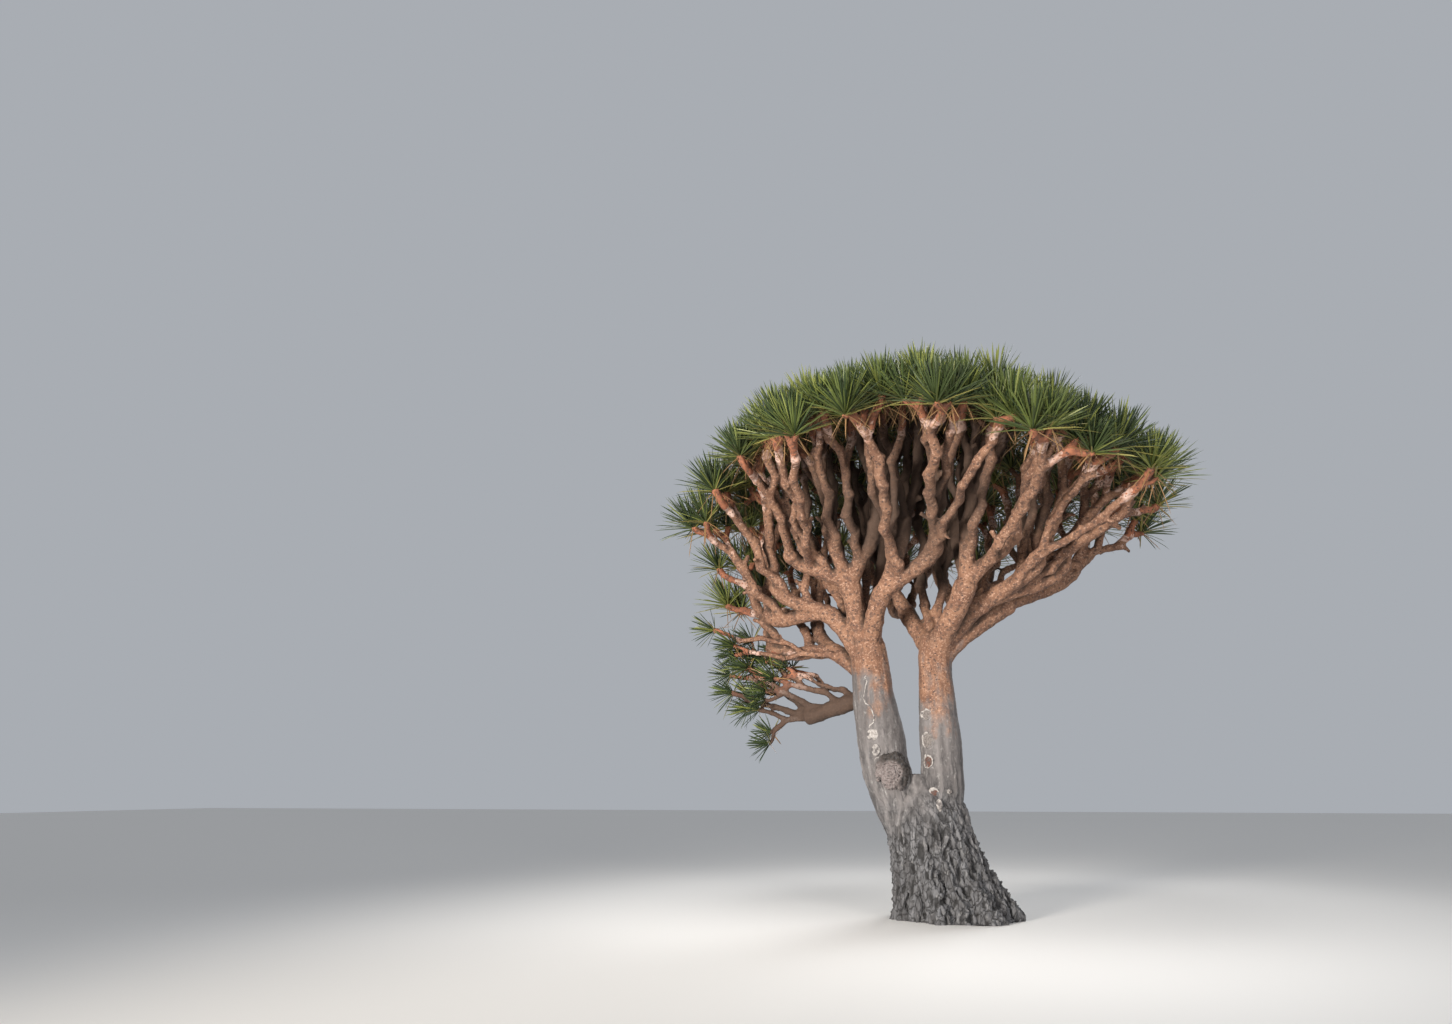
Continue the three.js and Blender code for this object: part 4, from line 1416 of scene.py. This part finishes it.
# %% [markdown]
# A leaf is a long blade with a keel: three corners at each of three places and one point, sixteen triangles
# in all. Every leaf is rolled a little round its own middle line, so that the light catches each in its own
# way.

# %% The blades
LEAF_WIDTHS = [1.10, 1.0, 0.84]  # at the places before the point, as shares of the leaf's width
EDGES_RISE, KEEL_SINKS = 0.14, 0.16  # as shares of the width too
ROLL = 0.35  # radians


def blades(routes, side, widths, random):
    """The corners of every leaf: left edge, right edge and keel at three places, then the point."""
    forward = unit(routes[:, :, 1] - routes[:, :, 0])
    top = np.cross(side, forward)
    roll = random.normal(0, ROLL, widths.shape)[..., None]
    side, top = side * np.cos(roll) + top * np.sin(roll), top * np.cos(roll) - side * np.sin(roll)
    corners = []
    for i, share in enumerate(LEAF_WIDTHS):
        wide = (widths * share)[..., None]
        edges = routes[:, :, i] + top * wide * EDGES_RISE
        keel = routes[:, :, i] - top * wide * KEEL_SINKS
        corners += [edges + side * wide / 2, edges - side * wide / 2, keel]
    return np.stack(corners + [routes[:, :, -1]], axis=2)


def blade_faces():
    """One leaf's faces, with ten corners: its root, two stretches of three walls, and its point."""
    faces = [(0, 1, 2)]
    for ring in (0, 3):
        for a, b in ((0, 1), (1, 2), (2, 0)):
            faces.append((ring + b, ring + a, ring + a + 3))
            faces.append((ring + b, ring + a + 3, ring + b + 3))
    faces += [(7, 6, 9), (8, 7, 9), (6, 8, 9)]
    return np.array(faces)


blade = blade_faces()
print("a leaf has", len(blade), "triangles")

# %% [markdown]
# The leaves of the five parts of the crown. Half of the leaves of a rosette have its own green, the others
# have any of the greens, and the oldest turn yellowish before they dry. The low fan stands in the shade:
# its own green is the darkest, as painted shade, and three leaves in five are left out.

# %% All leaves
LEAF_SEED = 500
GREENS = 4
ANY_GREEN = 0.5  # the share of leaves that have any of the greens
TURNS_OLD = (0.90, 1.0)  # the ages between which leaves turn
SHADED_KEEP, SHADED_OF = 2, 5  # in the shade, two leaves in five are kept


def leaf_tones(ages, shaded, random):
    """A material number for every leaf: one of the greens, then old, then dry."""
    # in the shade of the low fan the darkest green is painted shade
    own = np.where(shaded[:, None], GREENS - 1, random.integers(0, GREENS, (len(ages), 1)))
    tones = np.where(random.random(ages.shape) < ANY_GREEN, random.integers(0, GREENS, ages.shape), own)
    tones = np.where(ages > random.uniform(*TURNS_OLD, ages.shape), GREENS, tones)
    return np.where(ages > 1, GREENS + 1, tones)


leaves = {}
for number, group in enumerate(GROUPS):
    random = np.random.default_rng(LEAF_SEED + number)
    rosettes = [rosette for name in uppers_of(group) for rosette in growths[name].rosettes]
    routes, side, widths, age = leaf_routes(rosettes, random)
    shaded = np.array([rosette[3] for rosette in rosettes])
    kept = ~(shaded[:, None] & (np.arange(age.shape[1]) % SHADED_OF >= SHADED_KEEP))
    corners = blades(routes, side, widths, random)[kept]
    faces = blade[None] + corners.shape[1] * np.arange(len(corners))[:, None, None]
    leaves[group] = mesh_from_arrays("leaves_" + group, corners, faces.reshape(-1, 3).tolist())
    tones = np.repeat(leaf_tones(age, shaded, random)[kept], len(blade))
    leaves[group].data.polygons.foreach_set("material_index", tones.astype(np.int32))
    print(group, "has", len(corners), "leaves on", len(rosettes), "rosettes")

# %% [markdown]
# Finishes. Each is a Principled shader, with nodes for what varies over the surface. Noise on Object
# coordinates stays put in the wood, whatever the camera does. This helper makes the shader, and its methods
# add a node and its links in one go. Each hands back the new node's output, so that they can be written
# inside one another.

# %% A helper for materials


class Finish:
    """A material with its Principled shader, and short ways to add nodes to it."""

    def __init__(self, name, colour, roughness):
        self.material = bpy.data.materials.new(name)
        self.material.use_nodes = True
        self.material.diffuse_color = (*colour, 1)
        self.tree = self.material.node_tree
        self.shader = self.tree.nodes["Principled BSDF"]
        self.paint(colour)
        self.polish(roughness)

    def feed(self, socket, source):
        """A socket takes the output of another node, or else a number, a vector or a colour."""
        if isinstance(source, bpy.types.NodeSocket):
            self.tree.links.new(source, socket)
        elif socket.type == "RGBA":
            socket.default_value = (*source, 1)
        else:
            socket.default_value = source

    def node(self, kind, feeds, **settings):
        made = self.tree.nodes.new(kind)
        for setting, value in settings.items():
            setattr(made, setting, value)
        for name, source in feeds.items():
            self.feed(made.inputs[name], source)
        return made

    def place(self, stretch=(1, 1, 1)):
        spot = self.node("ShaderNodeTexCoord", {}).outputs["Object"]
        return self.node("ShaderNodeMapping", {"Vector": spot, "Scale": stretch}).outputs["Vector"]

    def noise(self, scale, detail=4, roughness=0.55, stretch=(1, 1, 1)):
        feeds = {"Vector": self.place(stretch), "Scale": scale, "Detail": detail, "Roughness": roughness}
        return self.node("ShaderNodeTexNoise", feeds).outputs["Fac"]

    def cells(self, scale, stretch=(1, 1, 1), feature="F1"):
        feeds = {"Vector": self.place(stretch), "Scale": scale}
        return self.node("ShaderNodeTexVoronoi", feeds, feature=feature).outputs

    def dots(self, scale, size, share, stretch=(1, 1, 1)):
        """Small spots of uneven size, in a share of the cells of a Voronoi pattern."""
        cells = self.cells(scale, stretch)
        chosen = self.spread(cells["Color"], 0.5 + 0.5 * share, 0.46 + 0.5 * share, 1, 0)
        ragged = self.uneven(cells["Distance"], self.noise(4 * scale, 2), 0.1)
        return self.math("MULTIPLY", chosen, self.spread(ragged, size, size - 0.07))

    def spread(self, value, low, high, to_low=0.0, to_high=1.0):
        feeds = {"Value": value, "From Min": low, "From Max": high, "To Min": to_low, "To Max": to_high}
        return self.node("ShaderNodeMapRange", feeds).outputs["Result"]

    def uneven(self, value, noise, stray):
        """A value that a noise moves up and down, by no more than it may stray."""
        return self.math("ADD", value, self.spread(noise, 0.3, 0.7, -stray, stray))

    def hollows(self, begin, deepest, darkness):
        """How dark a place is because it lies deep in the relief that was kept as an attribute."""
        return self.spread(self.attribute("relief"), begin, deepest, 0, darkness)

    def mix(self, share, a, b):
        return self.node("ShaderNodeMix", {0: share, 6: a, 7: b}, data_type="RGBA").outputs[2]

    def attribute(self, name):
        return self.node("ShaderNodeAttribute", {}, attribute_name=name).outputs["Fac"]

    def math(self, how, a, b):
        return self.node("ShaderNodeMath", {0: a, 1: b}, operation=how).outputs[0]

    def bump(self, *layers):
        """Bump from several heights, each with its strength and its depth in metres."""
        normal = {}
        for height, strength, depth in layers:
            feeds = {"Height": height, "Strength": strength, "Distance": depth, **normal}
            normal = {"Normal": self.node("ShaderNodeBump", feeds).outputs["Normal"]}
        self.feed(self.shader.inputs["Normal"], normal["Normal"])

    def paint(self, colour):
        self.feed(self.shader.inputs["Base Color"], colour)

    def polish(self, roughness):
        self.feed(self.shader.inputs["Roughness"], roughness)


floor_finish = Finish("pale_floor", FLOOR_COLOUR, 0.85)
floor.data.materials.append(floor_finish.material)
print("the floor is finished with", floor_finish.material.name)

# %% [markdown]
# The bark of the trunk. Near the ground it is dark grey-brown and almost black in its furrows. The stems
# are smoother and grey, with upright streaks and pale lichen, and towards their tops the grey gives way to
# the warm tan of the boughs, along a ragged border that lies lower on the right stem. The height above the
# ground steers those changes, and the relief that was kept as an attribute darkens the furrows. Where limbs
# stand close together the bark is darker too: that is painted shade, which is worked out further on.

# %% The bark of trunk and stems
DEEP_FURROW = (0.016, 0.015, 0.015)
FOOT_BARK = (0.060, 0.058, 0.060)
FOOT_BARK_PALE = (0.150, 0.150, 0.158)
STEM_BARK = (0.080, 0.072, 0.071)
STEM_BARK_PALE = (0.160, 0.147, 0.145)
STEM_LICHEN = (0.270, 0.262, 0.255)
TAN = (0.185, 0.094, 0.055)
TAN_DARK = (0.105, 0.048, 0.028)
TAN_PALE = (0.350, 0.215, 0.150)
SPECK = (0.055, 0.030, 0.022)
# painted shade: the dark brown given to bark deep in the crown, between crowded limbs and on the low bough
PAINTED_SHADE_COLOUR = (0.040, 0.023, 0.015)
TURNS_SMOOTH = (0.7, 1.3)  # the heights between which the bark of the foot gives way to that of the stems
TURNS_TAN = (1.90, 2.30)  # and that of the stems to that of the boughs
RIGHT_STEM_ACROSS = (-0.45, -0.30)  # X between the stems, where the left one ends and the right one begins
RIGHT_TURNS_LOWER = 0.12


def tan_bark(finish):
    """The warm bark of the boughs: blotches of two tans, pale scales and dark specks."""
    blotches = finish.spread(finish.noise(7.0, 3), 0.38, 0.66)
    colour = finish.mix(blotches, TAN, TAN_DARK)
    cracks = finish.spread(finish.noise(38, 5, 0.7, (1, 1, 1.4)), 0.46, 0.34, 0, 0.7)
    colour = finish.mix(cracks, colour, TAN_DARK)
    scales = finish.spread(finish.noise(52, 4, 0.75), 0.53, 0.62, 0, 0.8)
    colour = finish.mix(scales, colour, TAN_PALE)
    return finish.mix(finish.dots(28, 0.32, 0.20, (1, 1, 1.4)), colour, SPECK)


def trunk_bark(name, furrowed):
    """The bark of foot and stems. The furrowed one is darker in its hollows."""
    finish = Finish(name, STEM_BARK, 0.92)
    spot = finish.node("ShaderNodeSeparateXYZ", {"Vector": finish.place()}).outputs
    streaks = finish.noise(13, 6, 0.6, (1, 1, 0.16))
    height = finish.uneven(finish.uneven(spot["Z"], finish.noise(3.0, 5), 0.35), streaks, 0.25)
    right = finish.spread(spot["X"], *RIGHT_STEM_ACROSS, 0, RIGHT_TURNS_LOWER)
    foot = finish.mix(finish.spread(streaks, 0.38, 0.66), FOOT_BARK, FOOT_BARK_PALE)
    stem = finish.mix(finish.spread(streaks, 0.36, 0.70), STEM_BARK, STEM_BARK_PALE)
    colour = finish.mix(finish.spread(height, *TURNS_SMOOTH), foot, stem)
    lichen = finish.spread(finish.noise(30, 5, 0.7, (1, 1, 0.6)), 0.56, 0.70, 0, 0.6)
    colour = finish.mix(lichen, colour, STEM_LICHEN)
    tan = finish.spread(finish.math("ADD", height, right), *TURNS_TAN)
    colour = finish.mix(tan, colour, tan_bark(finish))
    plates = finish.cells(24, (1, 1, 0.42), "DISTANCE_TO_EDGE")["Distance"]
    edges = finish.spread(finish.uneven(plates, finish.noise(60, 4, 0.7), 0.06), 0.01, 0.09, 1, 0)
    cracked = finish.math("MULTIPLY", edges, finish.spread(height, *TURNS_SMOOTH, 0.85, 0))
    colour = finish.mix(cracked, colour, DEEP_FURROW)
    # painted shade between limbs that stand close together
    colour = finish.mix(finish.attribute("painted_shade"), colour, PAINTED_SHADE_COLOUR)
    finish.paint(finish.mix(finish.hollows(0.46, 0.14, furrowed), colour, DEEP_FURROW))
    finish.polish(finish.spread(streaks, 0.3, 0.7, 0.98, 0.80))
    finish.bump(
        (streaks, 0.55, 0.020),
        (finish.spread(cracked, 0, 1, 1, 0), 0.6, 0.012),
        (finish.noise(55, 5, 0.65, (1, 1, 0.5)), 0.50, 0.006),
        (finish.cells(42, (1, 1, 0.45))["Distance"], 0.30, 0.004),
    )
    return finish.material


foot.data.materials.append(trunk_bark("foot_bark", 0.95))
stems.data.materials.append(trunk_bark("stem_bark", 0.30))
print("foot and stems show", [piece.data.materials[0].name for piece in (foot, stems)])

# %% [markdown]
# The knot and the scars have barks of their own. The knot's roll is nearly black and its healed middle is
# paler. A scar has a pale rim around a grey heart, or around one that is red with resin.

# %% The bark of the knot and the scars
KNOT_ROLL_BARK = (0.030, 0.024, 0.021)
KNOT_HEART_BARK = (0.135, 0.110, 0.106)
SCAR_PALE = (0.330, 0.310, 0.296)
SCAR_GREY = (0.165, 0.148, 0.138)
SCAR_HEART = (0.082, 0.070, 0.066)
SCAR_RESIN = (0.115, 0.034, 0.022)


def knot_bark():
    """Dark bark on the roll, and a paler middle with streaks. The attribute tells which is where."""
    finish = Finish("knot_bark", KNOT_HEART_BARK, 0.95)
    streaks = finish.spread(finish.noise(60, 4, 0.65), 0.45, 0.68, 0, 0.4)
    heart = finish.mix(streaks, KNOT_HEART_BARK, STEM_LICHEN)
    roll = finish.mix(finish.spread(finish.noise(45, 4), 0.5, 0.7), KNOT_ROLL_BARK, FOOT_BARK)
    colour = finish.mix(finish.attribute("rolled"), heart, roll)
    finish.paint(finish.mix(finish.hollows(0.42, 0.14, 0.75), colour, DEEP_FURROW))
    finish.bump((finish.noise(90, 4, 0.6), 0.6, 0.004))
    return finish.material


def scar_bark():
    """A pale rim, worn in places, and a heart that is grey or red with resin, as two attributes say."""
    finish = Finish("scar_bark", SCAR_PALE, 0.9)
    mottled = finish.spread(finish.noise(70, 4, 0.6), 0.40, 0.64)
    worn = finish.spread(finish.noise(26, 3), 0.50, 0.60)
    colour = finish.mix(worn, finish.mix(mottled, SCAR_PALE, SCAR_GREY), STEM_BARK)
    colour = finish.mix(finish.attribute("grey"), colour, finish.mix(mottled, SCAR_HEART, SCAR_GREY))
    stained = finish.mix(finish.spread(finish.noise(55, 3), 0.42, 0.56), SCAR_RESIN, SCAR_HEART)
    stray = finish.spread(finish.noise(38, 3), 0.35, 0.65, -0.5, 0.3)
    resin = finish.spread(finish.math("ADD", finish.attribute("resin"), stray), 0.45, 0.65)
    finish.paint(finish.mix(resin, colour, finish.mix(mottled, stained, SPECK)))
    finish.bump((finish.noise(80, 4, 0.6), 0.5, 0.004))
    return finish.material


knot.data.materials.append(knot_bark())
scars.data.materials.append(scar_bark())
print("the scars show", [material.name for material in scars.data.materials])

# %% [markdown]
# The bark of the boughs has three ages, and each is a finish of its own: tan with specks on all old wood, a
# pale band where last year's leaves came off, and reddish orange young bark right under the rosettes.
# Further on, the way left to the nearest rosette tells which face gets which.

# %% The bark of boughs and twigs
YOUNG = (0.270, 0.100, 0.050)
YOUNG_DARK = (0.150, 0.054, 0.030)
PALE_BAND = (0.440, 0.310, 0.262)
PALE_BAND_DARK = (0.270, 0.145, 0.098)


def bough_bark():
    finish = Finish("old_bark", TAN, 0.88)
    colour = finish.mix(finish.hollows(0.45, 0.10, 0.8), tan_bark(finish), SPECK)
    # painted shade deep in the crown, between crowded limbs and on the low bough
    finish.paint(finish.mix(finish.attribute("painted_shade"), colour, PAINTED_SHADE_COLOUR))
    finish.bump((finish.noise(38, 5, 0.62), 0.6, 0.008), (finish.cells(75)["Distance"], 0.35, 0.004))
    return finish.material


def twig_bark(name, colour, other):
    finish = Finish(name, colour, 0.85)
    blotches = finish.spread(finish.noise(24, 4, 0.6), 0.38, 0.66)
    bark = finish.mix(finish.hollows(0.42, 0.08, 0.7), finish.mix(blotches, colour, other), SPECK)
    bark = finish.mix(finish.dots(40, 0.36, 0.2), bark, SPECK)
    # painted shade deep in the crown, between crowded limbs and on the low bough
    finish.paint(finish.mix(finish.attribute("painted_shade"), bark, PAINTED_SHADE_COLOUR))
    finish.bump((finish.noise(52, 4, 0.6), 0.5, 0.005))
    return finish.material


bough_finishes = [
    bough_bark(),
    twig_bark("pale_band_bark", PALE_BAND, PALE_BAND_DARK),
    twig_bark("young_bark", YOUNG, YOUNG_DARK),
]
print("made", [material.name for material in bough_finishes])

# %% [markdown]
# Painted shade. Deep inside the crown little light reaches the wood, so the old bark there is painted a
# dark dull brown. The outermost limbs form a cone that opens from the stems' tops to the rim. How far a
# point lies inside that cone tells how deep the painted shade is. The low bough, behind the stem, is
# painted dark as well, as shade. Between limbs that stand close together the bark is painted dark too, as
# the shade that falls there. To find such places, the wood is counted in small boxes. From every point a
# few feelers are stretched outwards, and the share of them that end in a box with wood tells how crowded
# the point is.

# %% Painted shade on the wood
CONE_AT_FORKS = (2.40, 0.35)  # the cone's height and radius where it begins
CONE_OPENS = 1.6  # how much wider it gets for each metre upwards
PAINTED_SHADE_DEPTHS = (0.65, 1.35)  # the depths inside the cone between which the painted shade darkens the bark
PAINTED_SHADE_ABOVE = (2.60, 3.10)
# how dark the painted shade gets deep in the crown
DARKEST_PAINTED_SHADE = 0.92
LOW_BOUGH_SHADE_ENDS = (1.95, 2.30)  # between these heights the painted shade of the low bough ends
BOX = 0.025  # the side of the boxes that the wood is counted in
BOXES_BEYOND = 0.2  # how far the boxes go beyond the wood, so that every feeler ends in one
FEELERS = 14
FEELER_LENGTHS = (0.055, 0.090, 0.140)
FEELERS_SLANT = 0.8
CROWDED = (0.06, 0.40)  # the shares of feelers that meet wood, between which the painted shade sets in
DARKEST_CROWD_SHADE = 0.85


def in_boxes(points, corner):
    return tuple(((points - corner) / BOX).astype(int).T)


def fill_boxes(points):
    """The corner of a grid of boxes round all points, and a 1 for each box that holds a point."""
    corner = points.min(axis=0) - BOXES_BEYOND
    filled = np.zeros(((points.max(axis=0) + BOXES_BEYOND - corner) / BOX).astype(int) + 1, np.float32)
    filled[in_boxes(points, corner)] = 1
    return corner, filled


def crowding(points, normals, corner, filled):
    """The share of feelers, stretched out from each point, that end in a box with wood."""
    random = np.random.default_rng(3)
    met = np.zeros(len(points))
    for _ in range(FEELERS):
        way = unit(normals + FEELERS_SLANT * unit(random.normal(size=3)))
        for length in FEELER_LENGTHS:
            met += filled[in_boxes(points + way * length, corner)]
    return met / (FEELERS * len(FEELER_LENGTHS))


def painted_shade_in_cone(points):
    """How deep the painted shade is inside the cone, and on the low bough."""
    x, y, height = points.T
    cone = np.minimum(CONE_AT_FORKS[1] + CONE_OPENS * (height - CONE_AT_FORKS[0]), CROWN_RADIUS)
    depth = cone - np.hypot(x - CROWN_MIDDLE[0], y - CROWN_MIDDLE[1])
    dark = smooth_step(depth, *PAINTED_SHADE_DEPTHS) * smooth_step(height, *PAINTED_SHADE_ABOVE)
    return np.maximum(dark, 1 - smooth_step(height, *LOW_BOUGH_SHADE_ENDS))


corner, filled = fill_boxes(np.concatenate([points_of(wood) for wood in [stems, *boughs.values()]]))
for wood in [stems, *boughs.values()]:
    points = points_of(wood)
    # painted shade deep in the crown and on the low bough; the stems get none
    dark = 0 if wood is stems else DARKEST_PAINTED_SHADE * painted_shade_in_cone(points)
    share = crowding(points, normals_of(wood), corner, filled)
    crowded = DARKEST_CROWD_SHADE * smooth_step(share, *CROWDED)
    # painted shade from the cone and from crowding, kept as an attribute
    keep_attribute(wood, "painted_shade", 1 - (1 - dark) * (1 - crowded))
    print(wood.name, "is crowded on", round(100 * float((crowded > 0.4).mean())), "% of its points")

# %% [markdown]
# Each face of a bough now gets its age. Every twig knows the way from its end to the nearest rosette, so
# places all along the twigs are put into a search tree, and each face asks for the nearest of them. Waves
# of a few centimetres make the borders between the ages ragged.

# %% Deal the three ages out over the faces
YOUNG_WITHIN = 0.25
PALE_WITHIN = 0.38
WAVES_ACROSS, WAVES_UP = 0.03, 0.02  # how far the borders stray


def twig_samples(group):
    """Places on all twigs of a group, with the way left from there to the nearest rosette."""
    places = np.array(TUBE_PLACES)
    twigs = twigs_of(group)
    routes = along_bows([twig[0] for twig in twigs], places)
    lengths = np.array([(twig[0][3] - twig[0][0]).length for twig in twigs])
    left = np.array([twig[3] for twig in twigs])[:, None] + lengths[:, None] * (1 - places)
    return routes.reshape(-1, 3), left.reshape(-1)


def way_left(piece, group):
    routes, left = twig_samples(group)
    tree = kdtree.KDTree(len(routes))
    for i, route_point in enumerate(routes):
        tree.insert(route_point, i)
    tree.balance()
    return np.array([left[tree.find(vertex.co)[1]] for vertex in piece.data.vertices])


def deal_ages(piece, group):
    x, y, z = points_of(piece).T
    waves = WAVES_ACROSS * np.sin(41 * x + 3 * np.sin(37 * y)) + WAVES_UP * np.sin(90 * z)
    first_corners = [face.vertices[0] for face in piece.data.polygons]
    way = (way_left(piece, group) + waves)[first_corners]
    ages = np.where(way < YOUNG_WITHIN, 2, np.where(way < PALE_WITHIN, 1, 0))
    for material in bough_finishes:
        piece.data.materials.append(material)
    piece.data.polygons.foreach_set("material_index", ages.astype(np.int32))
    return np.bincount(ages, minlength=3)


for group, wood in boughs.items():
    print(group, "faces old, pale and young:", deal_ages(wood, group))

# %% [markdown]
# Leaves are plain colours, one finish for each, so that they stay true on such small shapes: four greens
# from yellowish to dark, the yellowish green of old leaves and the straw of dead ones. The gloss is that of
# stiff waxy blades.

# %% The leaves
LEAF_COLOURS = {
    "leaf_yellow_green": (0.132, 0.150, 0.034),
    "leaf_mid_green": (0.070, 0.092, 0.022),
    "leaf_deep_green": (0.037, 0.055, 0.016),
    "leaf_dark_green": (0.018, 0.032, 0.010),
    "leaf_old": (0.170, 0.155, 0.040),
    "leaf_dry": (0.200, 0.115, 0.050),
}


def leaf_finish(name, colour):
    finish = Finish(name, colour, 0.48)
    finish.shader.inputs["Specular IOR Level"].default_value = 0.4
    return finish.material


leaf_finishes = [leaf_finish(name, colour) for name, colour in LEAF_COLOURS.items()]
for piece in leaves.values():
    for material in leaf_finishes:
        piece.data.materials.append(material)
print("made", len(leaf_finishes), "leaf finishes")

# %% [markdown]
# Wood is shaded smooth, so that the fine mesh shows as one rounded surface. The leaves stay flat faced,
# which keeps their keels crisp. The master limb has done its work and is taken away.

# %% Smooth the wood
for piece in [foot, stems, knot, scars, *boughs.values()]:
    pick(piece)
    bpy.ops.object.shade_smooth()
bpy.data.objects.remove(master_limb)
print(len(boughs) + 4, "pieces of wood are smooth")

# %% [markdown]
# Last, every new piece is tied to the plain model: which body it moves with, and which plain parts it
# stands for, which are hidden.

# %% Tie the pieces to the plain model
pieces = {
    foot: ("bark", ["trunk"]),
    stems: ("bark", ["left_stem", "right_stem"]),
    knot: ("bark", ["trunk"]),
    scars: ("bark", ["trunk", "left_stem", "right_stem"]),
}
for group, wood in boughs.items():
    nodes = ["bough_" + name for name in GROUPS[group] if name != "low"]
    nodes += ["bough_" + name for name in uppers_of(group)]
    foliage = ["foliage_" + name for name in uppers_of(group)]
    pieces[wood] = ("bough_bark", nodes + foliage)
    pieces[leaves[group]] = ("foliage", foliage)
for piece, (slot, nodes) in pieces.items():
    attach(piece, "root")
    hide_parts(*nodes)

triangles = {piece.name: sum(len(face.vertices) - 2 for face in piece.data.polygons) for piece in pieces}
print("triangles of each piece:", triangles)
print(len(pieces), "pieces with", sum(triangles.values()), "triangles")
